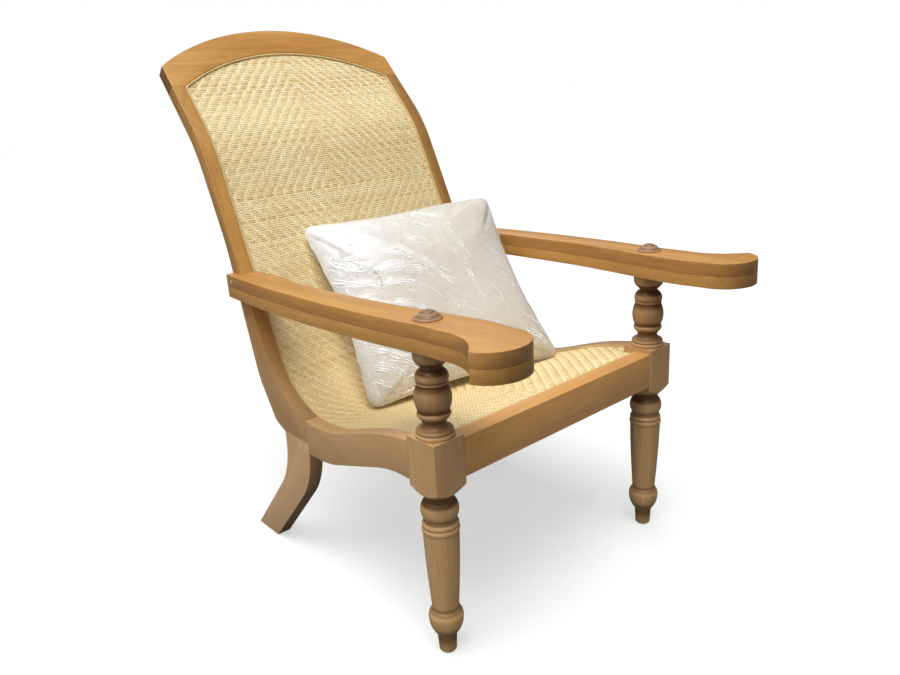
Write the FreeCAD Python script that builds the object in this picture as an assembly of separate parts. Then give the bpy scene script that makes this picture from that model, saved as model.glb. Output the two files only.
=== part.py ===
import FreeCAD, Part
import math
import os

# A planter's chair: two side frames that sweep from the seat into a tall raked back, one cane sheet
# stretched between them, turned front legs that carry the arms, and under each arm a second board that
# swings out on the leg's tenon as a leg rest. A square cushion in a clear bag leans on the back.
# Lengths are millimetres and angles degrees. +Z is up, the sitter looks along -Y and the sitter's
# right hand is at -X. The right side is drawn and the left side is its mirror image. Places in y are
# counted from the line through the two front legs until the whole chair is centred at the end.

Vector = FreeCAD.Vector

# Driving sizes of the whole chair
post_spacing = 562.0
post_width = 65.0
block_bottom = 314.5
block_height = 85.5
frame_thickness = 34.0
frame_setback = 3.0
frame_toe_in = 1.93
overrun = 60.0
hair = 0.001

# The front legs: turned below and above a square block
turning_allowance = 1.2
neck_length = 143.6
tenon_radius = 11.0
leg_turning_shares = (
    (0.000, 0.400, 0.000), (0.010, 0.475, 0.000), (0.111, 0.535, 0.000), (0.117, 0.590, 0.010),
    (0.210, 0.945, 0.085), (0.267, 0.740, 0.075), (0.273, 0.720, 0.000), (0.738, 0.965, 0.030),
    (0.764, 0.970, 0.040), (0.768, 0.930, 0.000), (0.792, 0.945, 0.040), (0.798, 0.880, 0.000),
    (0.820, 0.875, -0.010), (0.916, 0.815, 0.160), (0.922, 0.750, 0.000), (0.935, 0.750, 0.000),
)
shoulder_hollow_share = -0.070
neck_turning_shares = (
    (0.000, 0.972, 0.000), (0.049, 0.958, 0.045), (0.053, 0.915, 0.000), (0.094, 0.895, 0.045),
    (0.101, 0.830, 0.000), (0.150, 0.615, -0.050), (0.164, 0.607, 0.000), (0.225, 0.805, -0.030),
    (0.237, 0.820, 0.000), (0.286, 0.825, 0.055), (0.297, 0.785, 0.000), (0.590, 0.810, 0.160),
    (0.597, 0.767, 0.000), (0.635, 0.805, 0.040), (0.645, 0.785, 0.000), (0.677, 0.853, 0.025),
    (0.782, 0.518, 0.085), (0.795, 0.510, 0.000), (0.820, 0.620, 0.025), (0.827, 0.655, 0.000),
    (0.907, 0.892, 0.050), (1.000, 0.914, 0.010),
)

# The seat and back line, which is the top and front edge of both side frames
seat_front_drop = 10.5
seat_front_fall = 6.8
seat_crown_depth = 103.0
seat_crown_radius = 600.0
seat_dip_height = 322.0
seat_dip_depth = 274.0
seat_dip_radius = 320.0
seat_corner_depth = 437.0
seat_corner_radius = 165.0
back_lean = 23.3
back_bend_height = 505.0
back_bend_radius = 320.0
top_lean = 41.0
back_length_above_bend = 195.0

# The lower edge of the side rails
rail_front_height = 68.5
rail_waist_depth = 57.5
rail_waist_radius = 250.0
rail_heel_height = 66.0
rail_heel_depth = 290.0
rail_heel_radius = 250.0

# The back stiles, which stand on the rear legs
stile_front = 356.0
stile_foot_width = 87.0
stile_foot_rise = 20.0
stile_heel_radius = 25.0
stile_heel_shares = (0.37, 0.94)
stile_heel_height = 13.0
stile_shin_height = 92.0
stile_shin_radius = 120.0
stile_waist_height = 356.0
stile_waist_depth = 25.5
stile_waist_radius = 300.0
top_thickness = 28.0

# The rear legs
leg_thickness = 30.0
leg_inner_bend = 83.0
leg_outer_bend = 81.0
leg_bend_radius = 170.0
foot_front = 536.0
foot_length = 81.0
leg_bend_share = 0.03

# The crest rail
crest_joint_drop = 54.0
crest_rise = 89.0
crest_height = 64.0

# Rebate, cane and reeds along the inner edge of the wood
face_width = 28.0
rebate_width = frame_thickness - face_width
rebate_depth = 6.0
cane_thickness = 2.2
reed_width = 4.6
reed_top_drop = 0.6
cane_gap = 0.4

# The front rail and the hidden cross rail
front_rail_setback = 2.0
front_rail_height = 68.0
front_rail_face = 32.0
front_rail_rebate = 8.0
cross_rail_width = 58.0
cross_rail_height = 34.0
cross_rail_setback = 22.0
cross_rail_lift = 1.0

# The arms and the leg rests under them
arm_thickness = 23.0
rest_thickness = 22.0
turning_gap = 0.4
arm_fall = 1.23
arm_half_width = 33.0
arm_tail = 35.7
paddle_setback = 148.0
paddle_radius = 58.0
paddle_side_share = 0.515
arm_outer_shares = ((1.0, 0.85), (0.571, 1.38), (-0.026, 0.97))
arm_waist_share = -0.104
cusp_shares = (0.93, -0.26)
flare_shares = (-0.21, 1.19)
arm_inner_shares = ((-0.156, -1.35), (-0.055, -1.21), (0.104, -0.85), (0.277, -0.515), (0.484, -0.394),
                    (0.692, -0.424), (0.91, -0.72))
notch_clearance = 1.6
pivot_clearance = 0.06

# The buttons that cap the tenons
button_radius = 22.4
button_height = 13.6
tenon_grip = 6.0
button_turning_shares = (
    (0.00, 1.00, 0.000), (0.20, 0.985, 0.040), (0.27, 0.90, 0.000), (0.50, 0.72, -0.030),
    (0.55, 0.70, 0.000), (0.70, 0.62, 0.030), (0.73, 0.50, 0.000), (0.92, 0.27, 0.050),
    (0.94, 0.20, 0.000), (1.00, 0.05, 0.030),
)

# Dowels
dowel_radius = 5.0
dowel_length = 56.0
leg_dowel_spacing = 32.0
peg_radius = 4.0
peg_length = 40.0

# The cushion and its clear bag
cushion_width = 419.0
cushion_height = 417.0
cushion_thickness = 132.0
cushion_draw_in = 13.0
cushion_ear_radius = 9.0
cushion_offset = 46.2
cushion_start_share = 0.65
cushion_gap = 0.4
settle_tolerance = 0.01
settle_steps = 60
cushion_yaw = -20.6
cushion_lean = 39.36
cushion_roll = 5.29
cushion_size_shares = (1.0, 0.965, 0.90, 0.77, 0.58, 0.34, 0.12)
cushion_depth_shares = (0.0, 0.20, 0.43, 0.69, 0.87, 0.97, 1.0)
cushion_round_share = 0.10
cushion_corner_share = 0.8
bag_gap = 0.7
bag_film = 0.5
bag_mouth = 2.0

# Places that follow from the sizes
half_post = post_width / 2
post_x = post_spacing / 2
turned_radius = half_post - turning_allowance
block_top = block_bottom + block_height
seat_start_height = block_top - seat_front_drop
outer_x = post_x + half_post - frame_setback
neck_top = block_top + neck_length
arm_top = neck_top + turning_gap + rest_thickness + turning_gap + arm_thickness
rest_underside = neck_top + turning_gap
arm_underside = arm_top - arm_thickness


def tangent(angle):
    return math.tan(math.radians(angle))


def side_x(y, inset=0.0):
    """Half the width across the side frames at y, less an inset on each side."""
    return outer_x - tangent(frame_toe_in) * (y - half_post) - inset


def seat_line_height(y):
    """Height of the straight front stretch of the seat line."""
    return seat_start_height - tangent(seat_front_fall) * (y - half_post)


def back_line_y(z):
    """The straight stretch of the back, from the seat's corner up to the bend."""
    return seat_corner_depth + tangent(back_lean) * (z - seat_dip_height)


arm_back_length = back_line_y(arm_underside) + arm_tail
back_bend_z = seat_dip_height + back_bend_height
back_bend_y = back_line_y(back_bend_z)
top_along = Vector(0, math.sin(math.radians(top_lean)), math.cos(math.radians(top_lean)))
top_facing = Vector(0, -top_along.z, top_along.y)
crest_corner = Vector(0, back_bend_y, back_bend_z) + top_along * back_length_above_bend
joint_drop_y = crest_corner.y - top_along.y * crest_joint_drop


# Outlines: chains of (a, b, radius) corners, drawn as straight runs joined by tangent arcs

def fitted(corners, closed):
    """The same corners with radii that leave room for each other on every run."""
    count = len(corners)
    halves, reaches = [], []
    for i, (a, b, radius) in enumerate(corners):
        inner = closed or 0 < i < count - 1
        before, after = corners[i - 1], corners[(i + 1) % count]
        turn = math.atan2(after[1] - b, after[0] - a) - math.atan2(b - before[1], a - before[0])
        turn = (turn + math.pi) % (2 * math.pi) - math.pi
        halves.append(math.tan(abs(turn) / 2) if inner else 0)
        reaches.append(radius * halves[i])
    limits = [1.0] * count
    for i in range(count if closed else count - 1):
        j = (i + 1) % count
        run = math.hypot(corners[j][0] - corners[i][0], corners[j][1] - corners[i][1])
        share = min(1.0, run / max(reaches[i] + reaches[j], run))
        limits[i] = min(limits[i], share)
        limits[j] = min(limits[j], share)
    return [(a, b, radius * limit) for (a, b, radius), limit in zip(corners, limits)]


def beside(corners, distance):
    """The open chain that runs beside another, to its left, with concentric roundings."""
    corners = fitted(corners, False)
    runs = []
    for (a, b, _), (c, d, _) in zip(corners[:-1], corners[1:]):
        length = math.hypot(c - a, d - b)
        along = ((c - a) / length, (d - b) / length)
        runs.append(((a - along[1] * distance, b + along[0] * distance), along))
    result = [(runs[0][0][0], runs[0][0][1], 0)]
    for i in range(1, len(runs)):
        (p, u), (q, v) = runs[i - 1], runs[i]
        cross = u[0] * v[1] - u[1] * v[0]
        step = ((q[0] - p[0]) * v[1] - (q[1] - p[1]) * v[0]) / cross
        radius = corners[i][2] - math.copysign(distance, cross)
        result.append((p[0] + u[0] * step, p[1] + u[1] * step, radius))
    a, b, _ = corners[-1]
    along = runs[-1][1]
    result.append((a - along[1] * distance, b + along[0] * distance, 0))
    return result


def drawn(corners, place, closed=True):
    """A wire through the corners; place turns a pair of numbers into a point in space."""
    corners = fitted(corners, closed)
    count = len(corners)
    stops = []
    for i, (a, b, radius) in enumerate(corners):
        if radius == 0 or (not closed and i in (0, count - 1)):
            stops.append(((a, b), None, (a, b)))
            continue
        before, after = corners[i - 1], corners[(i + 1) % count]
        back = (before[0] - a, before[1] - b)
        on = (after[0] - a, after[1] - b)
        back = [value / math.hypot(*back) for value in back]
        on = [value / math.hypot(*on) for value in on]
        half = math.acos(max(-1.0, min(1.0, back[0] * on[0] + back[1] * on[1]))) / 2
        reach = radius / math.tan(half)
        middle = (back[0] + on[0], back[1] + on[1])
        length = math.hypot(*middle)
        inward = radius / math.sin(half) - radius
        stops.append(((a + back[0] * reach, b + back[1] * reach),
                      (a + middle[0] / length * inward, b + middle[1] / length * inward),
                      (a + on[0] * reach, b + on[1] * reach)))
    edges = []
    for i, (start, middle, end) in enumerate(stops):
        if middle:
            edges.append(Part.Arc(place(*start), place(*middle), place(*end)).toShape())
        if closed or i < count - 1:
            target = stops[(i + 1) % count][0]
            if place(*end).distanceToPoint(place(*target)) > hair:
                edges.append(Part.makeLine(place(*end), place(*target)))
    return Part.Wire(edges)


def from_side(y, z):
    return Vector(0, y, z)


def across(corners, reach):
    """A solid with the given side view, as wide as reach on both sides of the middle."""
    face = Part.Face(drawn(corners, from_side))
    face.translate(Vector(-reach, 0, 0))
    return face.extrude(Vector(2 * reach, 0, 0))


def turned(shares, length, radius):
    """Edges of half a turned outline, from (height, radius, bulge) shares; a bulge below 0 is a hollow."""
    edges = []
    points = [(r * radius, h * length, bulge * radius) for h, r, bulge in shares]
    for (r0, z0, _), (r1, z1, bulge) in zip(points[:-1], points[1:]):
        start, end = Vector(r0, 0, z0), Vector(r1, 0, z1)
        if bulge == 0:
            edges.append(Part.makeLine(start, end))
            continue
        out = Vector(z1 - z0, 0, r0 - r1).normalize()
        middle = (start + end) * 0.5 + out * bulge
        edges.append(Part.Arc(start, middle, end).toShape())
    return edges


def revolved(edges):
    """A solid of revolution about the z axis from a chain of edges that starts and ends beside it."""
    first, last = edges[0].Vertexes[0].Point, edges[-1].Vertexes[-1].Point
    low, high = Vector(0, 0, first.z), Vector(0, 0, last.z)
    closing = [Part.makeLine(last, high), Part.makeLine(high, low), Part.makeLine(low, first)]
    return Part.Face(Part.Wire(edges + closing)).revolve(Vector(0, 0, 0), Vector(0, 0, 1), 360)


def cylinder(radius, start, along, length):
    return Part.makeCylinder(radius, length, start, along)


def mirrored(shape):
    return shape.mirror(Vector(0, 0, 0), Vector(1, 0, 0))


def both_sides(shape):
    return Part.makeCompound([shape, mirrored(shape)])


# The right side frame

def seat_and_back_line(start_y):
    """The open chain along the seat and up the back, as seen from the side."""
    top = crest_corner + top_along * crest_height
    corners = [
        (half_post, seat_start_height, 0),
        (seat_crown_depth, seat_line_height(seat_crown_depth), seat_crown_radius),
        (seat_dip_depth, seat_dip_height, seat_dip_radius),
        (seat_corner_depth, seat_dip_height, seat_corner_radius),
        (back_bend_y, back_bend_z, back_bend_radius),
        (top.y, top.z, 0),
    ]
    return [(start_y, seat_line_height(start_y), 0)] + fitted(corners, False)[1:]


def rear_line():
    """The back edge of the stile, from above the crest's joint down to the stile's foot."""
    top = crest_corner + top_along * crest_height - top_facing * top_thickness
    bend = beside([(back_bend_y - tangent(back_lean) * overrun, back_bend_z - overrun, 0),
                   (back_bend_y, back_bend_z, 0), (crest_corner.y, crest_corner.z, 0)], -top_thickness)[1]
    waist_z = stile_foot_height() + stile_waist_height
    waist_y = back_line_y(waist_z) + stile_waist_depth / math.cos(math.radians(back_lean))
    foot_y, foot_z = stile_front + stile_foot_width, stile_foot_height()
    heel_y, shin_y = [foot_y + share * stile_foot_width for share in stile_heel_shares]
    return [
        (top.y, top.z, 0),
        (bend[0], bend[1], back_bend_radius),
        (waist_y, waist_z, stile_waist_radius),
        (shin_y, foot_z + stile_shin_height, stile_shin_radius),
        (heel_y, foot_z + stile_heel_height, stile_heel_radius),
        (foot_y, foot_z, 0),
    ]


def rail_heel_z():
    return seat_dip_height - rail_heel_height


def stile_foot_height():
    return rail_heel_z() + stile_foot_rise


def frame_outline(depth):
    """Side view of rail and stile as one, with the seat and back line lowered by a depth."""
    front = beside(seat_and_back_line(half_post), -depth) if depth else seat_and_back_line(half_post)
    front[0] = (half_post, front[0][1] - tangent(seat_front_fall) * (half_post - front[0][0]), 0)
    rail_bottom = seat_start_height - rail_front_height
    return front + rear_line() + [
        (stile_front, stile_foot_height(), 0),
        (stile_front, rail_heel_z(), 0),
        (rail_heel_depth, rail_heel_z(), rail_heel_radius),
        (half_post + rail_waist_depth, rail_bottom, rail_waist_radius),
        (half_post, rail_bottom, 0),
    ]


def side_slab(inset, end_inset, both=False):
    """The space between two insets from the right side's outer face, or right across to the left side."""
    low, high = -paddle_setback - overrun, crest_corner.y + crest_rise + overrun
    plan = [(-side_x(low, inset), low), (-side_x(high, inset), high)]
    if both:
        plan += [(side_x(high, inset), high), (side_x(low, inset), low)]
    else:
        plan += [(-side_x(high, end_inset), high), (-side_x(low, end_inset), low)]
    bottom = -overrun
    points = [Vector(x, y, bottom) for x, y in plan]
    face = Part.Face(Part.makePolygon(points + points[:1]))
    return face.extrude(Vector(0, 0, crest_corner.z + crest_rise + 2 * overrun))


def span(inset):
    return side_slab(inset, inset, both=True)


def crest_box(low, high):
    """A wide box in the top's own directions, between two places along it and past both faces."""
    wide = post_spacing + 2 * overrun
    box = Part.makeBox(wide, high - low, 2 * top_thickness + 2 * overrun)
    box.translate(Vector(-wide / 2, low, -top_thickness - overrun))
    box.Placement = FreeCAD.Placement(crest_corner, crest_turn()).multiply(box.Placement)
    return box


def crest_turn():
    """Turns x, y, z into across, along the top and out of its front face."""
    return FreeCAD.Rotation(Vector(1, 0, 0), top_along, top_facing, "XYZ")


def side_frame():
    """Rail and stile of the right side in one, rebated along the inner edge."""
    face = across(frame_outline(0), post_spacing).common(side_slab(0, face_width))
    lip = side_slab(face_width, frame_thickness)
    inner = across(frame_outline(rebate_depth), post_spacing).common(lip)
    return face.fuse(inner).removeSplitter()


def before(y):
    """Everything in front of y."""
    wide = post_spacing + 2 * overrun
    return Part.makeBox(2 * wide, wide + y, 2 * crest_corner.z, Vector(-wide, -wide, -overrun))


def side_rail(frame, holes):
    return frame.common(before(stile_front)).cut(holes)


def back_stile(frame, holes):
    above = crest_box(-crest_joint_drop, 2 * crest_height + overrun)
    return frame.cut(before(stile_front)).cut(above).cut(holes)


def rear_leg(holes):
    """The raked rear leg, whose top carries the stile's foot."""
    top = stile_foot_height()
    rear_top = stile_front + stile_foot_width
    corners = [
        (stile_front, top, 0),
        (stile_front + leg_bend_share * leg_thickness, top - leg_inner_bend, leg_bend_radius),
        (foot_front, 0, 0),
        (foot_front + foot_length, 0, 0),
        (rear_top - leg_bend_share * stile_foot_width, top - leg_outer_bend, leg_bend_radius),
        (rear_top, top, 0),
    ]
    return across(corners, post_spacing).common(side_slab(0, leg_thickness)).cut(holes)


# The crest rail

def arc_radius(half_width, rise):
    return (half_width ** 2 + rise ** 2) / (2 * rise)


crest_radius = arc_radius(side_x(crest_corner.y), crest_rise)
inner_rise = crest_rise - crest_height
inner_radius = arc_radius(side_x(joint_drop_y, face_width), inner_rise + crest_joint_drop)


def crest_disc(radius, top, front, back):
    """A disc that lies in the top: its highest place, and its front and back from the front face."""
    start = crest_corner + top_along * (top - radius) + top_facing * back
    return cylinder(radius, start, top_facing, front - back)


def crest_rail(holes):
    outer = crest_disc(crest_radius, crest_rise, 0, -top_thickness)
    lip = inner_radius - rebate_width
    opening = crest_disc(lip, inner_rise - rebate_width, overrun, -top_thickness - overrun)
    rebate = crest_disc(inner_radius, inner_rise, overrun, -rebate_depth)
    above = crest_box(-crest_joint_drop, 2 * crest_height + overrun)
    return outer.cut(opening).cut(rebate).common(above).common(span(0)).cut(holes)


# Front rail and the hidden cross rail

front_rail_y = front_rail_setback - half_post
cane_front = front_rail_y + front_rail_face


def front_rail(holes):
    """A straight rail between the two blocks, rebated behind for the cane."""
    back = cane_front + front_rail_rebate
    top = seat_line_height(cane_front)
    step = rebate_depth / math.cos(math.radians(seat_front_fall))
    corners = [
        (front_rail_y, top - front_rail_height, 0),
        (front_rail_y, top, 0),
        (cane_front, top, 0),
        (cane_front, top - step, 0),
        (back, seat_line_height(back) - step, 0),
        (back, top - front_rail_height, 0),
    ]
    return across(corners, post_x - half_post).cut(holes)


def cross_rail_middle():
    return stile_front + cross_rail_setback + cross_rail_width / 2


def cross_rail(holes):
    """The rail that holds the side frames apart under the dip of the seat."""
    low = stile_foot_height() + cross_rail_lift
    front = cross_rail_middle() - cross_rail_width / 2
    corner = Vector(-post_spacing, front, low)
    rail = Part.makeBox(2 * post_spacing, cross_rail_width, cross_rail_height, corner)
    return rail.common(span(frame_thickness)).cut(holes)


# Cane sheet and the reeds that cover its edges

def layer(bottom, top, start_y):
    """A skin between two depths under the seat and back line, as wide as the chair."""
    upper = beside(seat_and_back_line(start_y), -top)
    lower = beside(seat_and_back_line(start_y), -bottom)
    return across(upper + lower[::-1], post_spacing)


def beyond_arc(shrink):
    """Everything at the top that lies outside the crest's inner arc, made smaller by a shrink."""
    disc = crest_disc(inner_radius - shrink, inner_rise - shrink, 2 * overrun, -2 * overrun)
    return crest_box(-crest_joint_drop - overrun, 3 * crest_rise).cut(disc)


def blocks(clearance):
    """The two front blocks, grown by a clearance."""
    half = half_post + clearance
    block = Part.makeBox(2 * half, 2 * half, block_top, Vector(-post_x - half, -half, 0))
    return both_sides(block)


def behind(y):
    """Everything behind y."""
    wide = 2 * post_spacing
    return Part.makeBox(2 * wide, wide + overrun, 2 * crest_corner.z, Vector(-wide, y, -overrun))


def cane_sheet():
    sheet = layer(rebate_depth, rebate_depth - cane_thickness, -overrun)
    sheet = sheet.common(span(face_width + cane_gap)).common(behind(cane_front + cane_gap))
    return sheet.cut(beyond_arc(cane_gap)).cut(blocks(cane_gap))


def reed_layer():
    return layer(rebate_depth - cane_thickness, reed_top_drop, -overrun)


def reed_right():
    edge = face_width + cane_gap
    reed = reed_layer().common(side_slab(edge, edge + reed_width)).common(behind(half_post + cane_gap))
    return reed.cut(beyond_arc(cane_gap + reed_width))


def reed_front():
    start = cane_front + cane_gap
    strip = reed_layer().common(behind(start)).cut(behind(start + reed_width))
    wide = post_x - half_post - cane_gap
    return strip.common(Part.makeBox(2 * wide, post_width, 2 * block_top, Vector(-wide, 0, 0)))


def reed_top():
    radius = inner_radius - cane_gap
    back, front = cane_thickness - rebate_depth, -reed_top_drop
    ring = crest_disc(radius, inner_rise - cane_gap, front, back)
    inner = radius - reed_width
    hole = crest_disc(inner, inner_rise - cane_gap - reed_width, overrun, -overrun)
    upper = crest_box(-crest_joint_drop - overrun, 2 * crest_rise)
    return ring.cut(hole).common(upper).common(span(face_width + cane_gap))


# The arms, drawn level and then tipped to fall towards the back about the leg's top

def tipped(shape):
    shape = shape.copy()
    shape.rotate(Vector(0, 0, neck_top), Vector(1, 0, 0), -arm_fall)
    return shape


def arm_point(y, outward, z):
    return Vector(-post_x - outward, y, z)


def arm_plan(z):
    """The outline of an arm board: a long bowed bar with a cusp and a round paddle at its front."""
    def place(shares):
        return arm_point(shares[0] * arm_back_length, shares[1] * arm_half_width, z)
    centre_out = paddle_side_share * arm_half_width
    start, bow, waist = [place(shares) for shares in arm_outer_shares]
    flare_start = place((arm_waist_share, arm_outer_shares[2][1]))
    cusp_angle = math.atan2(cusp_shares[1], cusp_shares[0])
    def on_paddle(angle):
        return arm_point(-paddle_setback + paddle_radius * math.sin(angle),
                         centre_out + paddle_radius * math.cos(angle), z)
    cusp = on_paddle(cusp_angle)
    flare = place(flare_shares)
    inner_start = on_paddle(math.pi)
    front = on_paddle((cusp_angle - math.pi) / 2)
    inner = Part.BSplineCurve()
    inner.interpolate([inner_start] + [place(shares) for shares in arm_inner_shares],
                      InitialTangent=Vector(0, arm_back_length, 0),
                      FinalTangent=Vector(-arm_half_width, arm_back_length, 0))
    end = inner.EndPoint
    edges = [
        Part.Arc(start, bow, waist).toShape(),
        Part.makeLine(waist, flare_start),
        Part.Arc(flare_start, flare, cusp).toShape(),
        Part.Arc(cusp, front, inner_start).toShape(),
        inner.toShape(),
        Part.makeLine(end, Vector(end.x, start.y, z)),
        Part.makeLine(Vector(end.x, start.y, z), start),
    ]
    return Part.Face(Part.Wire(edges))


def stile_notch(clearance):
    """The space that the stile takes out of an arm board, and all that lies inward and behind it."""
    low, high = block_top, arm_top + overrun
    reach = 2 * arm_back_length
    corners = [(back_line_y(low) - clearance, low, 0), (back_line_y(high) - clearance, high, 0),
               (reach, high, 0), (reach, low, 0)]
    return across(corners, post_spacing).common(side_slab(-clearance, post_x))


def arm_board(holes):
    face = arm_plan(arm_underside)
    board = tipped(face.extrude(Vector(0, 0, arm_thickness))).cut(stile_notch(0))
    return board.cut(tenon(0)).cut(holes)


def leg_rest():
    face = arm_plan(rest_underside)
    board = tipped(face.extrude(Vector(0, 0, rest_thickness))).cut(stile_notch(notch_clearance))
    return board.cut(tenon(pivot_clearance))


# The front leg with its block, turned neck and the tenon that the leg rest turns on

def tenon(clearance):
    length = arm_top + tenon_grip - neck_top + turning_allowance
    start = Vector(-post_x, 0, neck_top - turning_allowance)
    return tipped(cylinder(tenon_radius + clearance, start, Vector(0, 0, 1), length))


def front_leg(holes):
    corner = math.hypot(half_post, half_post)
    neck = turned(neck_turning_shares, neck_length, turned_radius)
    for edge in neck:
        edge.translate(Vector(0, 0, block_top))
    foot = turned(leg_turning_shares, block_bottom, turned_radius)
    shoulder_start = foot[-1].Vertexes[-1].Point
    shoulder_end = Vector(corner, 0, block_bottom)
    out = Vector(shoulder_end.z - shoulder_start.z, 0, shoulder_start.x - shoulder_end.x).normalize()
    middle = (shoulder_start + shoulder_end) * 0.5 + out * (shoulder_hollow_share * turned_radius)
    rim = corner + turning_allowance
    chain = foot + [
        Part.Arc(shoulder_start, middle, shoulder_end).toShape(),
        Part.makeLine(shoulder_end, Vector(rim, 0, block_bottom)),
        Part.makeLine(Vector(rim, 0, block_bottom), Vector(rim, 0, block_top)),
        Part.makeLine(Vector(rim, 0, block_top), neck[0].Vertexes[0].Point),
    ] + neck
    billet = Part.makeBox(post_width, post_width, neck_top + overrun, Vector(-half_post, -half_post, 0))
    leg = revolved(chain).common(billet)
    leg.translate(Vector(-post_x, 0, 0))
    level = 2 * post_width
    trim = Part.makeBox(level, level, overrun, Vector(-post_x - level / 2, -level / 2, neck_top))
    return leg.cut(tipped(trim)).fuse(tenon(0)).removeSplitter().cut(holes)


def pivot_button():
    """A turned cap with a blind bore that sits on the tenon's end."""
    button = revolved(turned(button_turning_shares, button_height, button_radius))
    button.translate(Vector(-post_x, 0, arm_top))
    return tipped(button).cut(tenon(0))


# Dowels and pegs

def dowel(centre, along, length=dowel_length, radius=dowel_radius):
    along = Vector(along).normalize()
    return cylinder(radius, centre - along * (length / 2), along, length)


def pairs(centre, along, apart):
    """Two dowels side by side, the given vector apart."""
    return Part.makeCompound([dowel(centre - apart * 0.5, along), dowel(centre + apart * 0.5, along)])


def front_rail_dowels():
    middle = seat_line_height(cane_front) - front_rail_height / 2
    centre = Vector(-post_x + half_post, front_rail_y + front_rail_face / 2, middle)
    return both_sides(pairs(centre, Vector(1, 0, 0), Vector(0, 0, front_rail_height / 2)))


def rail_front_dowels():
    middle = seat_start_height - rail_front_height / 2
    centre = Vector(-side_x(half_post, frame_thickness / 2), half_post, middle)
    return pairs(centre, Vector(0, 1, 0), Vector(0, 0, rail_front_height / 2))


def rail_rear_dowels():
    middle = (stile_foot_height() + seat_dip_height) / 2
    centre = Vector(-side_x(stile_front, frame_thickness / 2), stile_front, middle)
    return pairs(centre, Vector(0, 1, 0), Vector(0, 0, (seat_dip_height - stile_foot_height()) / 2))


def rear_leg_dowels():
    """One dowel on each side of the cross rail's dowels."""
    middle = cross_rail_middle()
    centre = Vector(-side_x(middle, leg_thickness / 2), middle, stile_foot_height())
    return pairs(centre, Vector(0, 0, 1), Vector(0, leg_dowel_spacing, 0))


def cross_rail_dowels():
    y = cross_rail_middle()
    middle = stile_foot_height() + cross_rail_lift + cross_rail_height / 2
    centre = Vector(-side_x(y, frame_thickness), y, middle)
    return both_sides(pairs(centre, Vector(1, 0, 0), Vector(0, 0, cross_rail_height / 2)))


def crest_dowels():
    centre = crest_corner - top_along * crest_joint_drop - top_facing * (top_thickness / 2)
    centre.x = -side_x(joint_drop_y, face_width / 2)
    return both_sides(pairs(centre, top_along, Vector(face_width / 2, 0, 0)))


def arm_pegs():
    """One peg on each side runs from the arm's outer strip into the stile."""
    z = arm_underside + arm_thickness / 2 - tangent(arm_fall) * arm_back_length
    y = back_line_y(z) + stile_waist_depth / 2
    centre = Vector(-side_x(y), y, z)
    return both_sides(dowel(centre, Vector(1, 0, 0), peg_length, peg_radius))


# The cushion and its bag

def cushion_section(size, depth, grow):
    """One outline across the cushion: drawn-in sides at the seam, bowed ones nearer to the crown."""
    half_w, half_h = cushion_width / 2 * size + grow, cushion_height / 2 * size + grow
    blend = (1 - size) / (1 - cushion_size_shares[-1])
    bow_w = -cushion_draw_in * (1 - blend) + cushion_round_share * half_w * blend
    bow_h = -cushion_draw_in * (1 - blend) + cushion_round_share * half_h * blend
    corner = min(cushion_ear_radius + (half_h - cushion_ear_radius) * blend * cushion_corner_share,
                 half_h * cushion_corner_share)
    edges = []
    for i in range(4):
        wide, tall, bow = (half_w, half_h, bow_w) if i % 2 == 0 else (half_h, half_w, bow_h)
        turn = FreeCAD.Rotation(Vector(0, 0, 1), 90 * i)
        nip = corner * (1 - math.sqrt(0.5))
        places = [(wide, -tall + corner), (wide + bow, 0), (wide, tall - corner),
                  (wide - nip, tall - nip), (wide - corner, tall)]
        points = [turn.multVec(Vector(a, b, depth)) for a, b in places]
        edges.append(Part.Arc(*points[:3]).toShape())
        edges.append(Part.Arc(*points[2:]).toShape())
    return Part.Wire(edges)


def advance(form, support, along):
    """Moves a form along a direction until only the resting gap is left before its support."""
    for _ in range(settle_steps):
        gap = form.distToShape(support)[0] - cushion_gap
        if gap < settle_tolerance:
            return
        form.translate(along * gap)


def resting_place(sheet):
    """The placement of the cushion: tipped, pushed back against the cane and slid down to the seat."""
    form = cushion_form(bag_gap + bag_film)
    yaw = FreeCAD.Rotation(Vector(0, 0, 1), cushion_yaw)
    lean = FreeCAD.Rotation(Vector(1, 0, 0), 90 - cushion_lean)
    roll = FreeCAD.Rotation(Vector(0, 0, 1), cushion_roll)
    start = Vector(cushion_offset, seat_corner_depth - cushion_height / 2,
                   seat_dip_height + cushion_height * cushion_start_share)
    form.Placement = FreeCAD.Placement(start, yaw.multiply(lean).multiply(roll))
    wide, reach = 2 * post_spacing, 2 * seat_corner_depth
    seat_top = seat_dip_height + seat_corner_radius / 2
    lower = Part.makeBox(wide, 2 * reach, seat_top, Vector(-wide / 2, -reach, 0))
    advance(form, sheet.cut(lower), Vector(0, 1, 0))
    down = Vector(0, -math.sin(math.radians(back_lean)), -math.cos(math.radians(back_lean)))
    advance(form, sheet.common(lower), down)
    return form.Placement


def placed(shape, place):
    shape.Placement = place
    return shape


def cushion_form(grow):
    """Two crowned halves that meet in the seam."""
    halves = []
    for side in (1, -1):
        sections = [cushion_section(size, side * depth * (cushion_thickness / 2 + grow), grow)
                    for size, depth in zip(cushion_size_shares, cushion_depth_shares)]
        halves.append(Part.makeLoft(sections, True))
    return halves[0].fuse(halves[1])


def cushion_bag():
    """A thin film all round the cushion, open in a slit along its left edge."""
    reach = cushion_height - 2 * cushion_ear_radius - 2 * cushion_draw_in
    corner = Vector(cushion_width / 4, -reach / 2, -bag_mouth / 2)
    mouth = Part.makeBox(cushion_width, reach, bag_mouth, corner)
    return cushion_form(bag_gap + bag_film).cut(cushion_form(bag_gap)).cut(mouth)


# The finished chair

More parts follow.
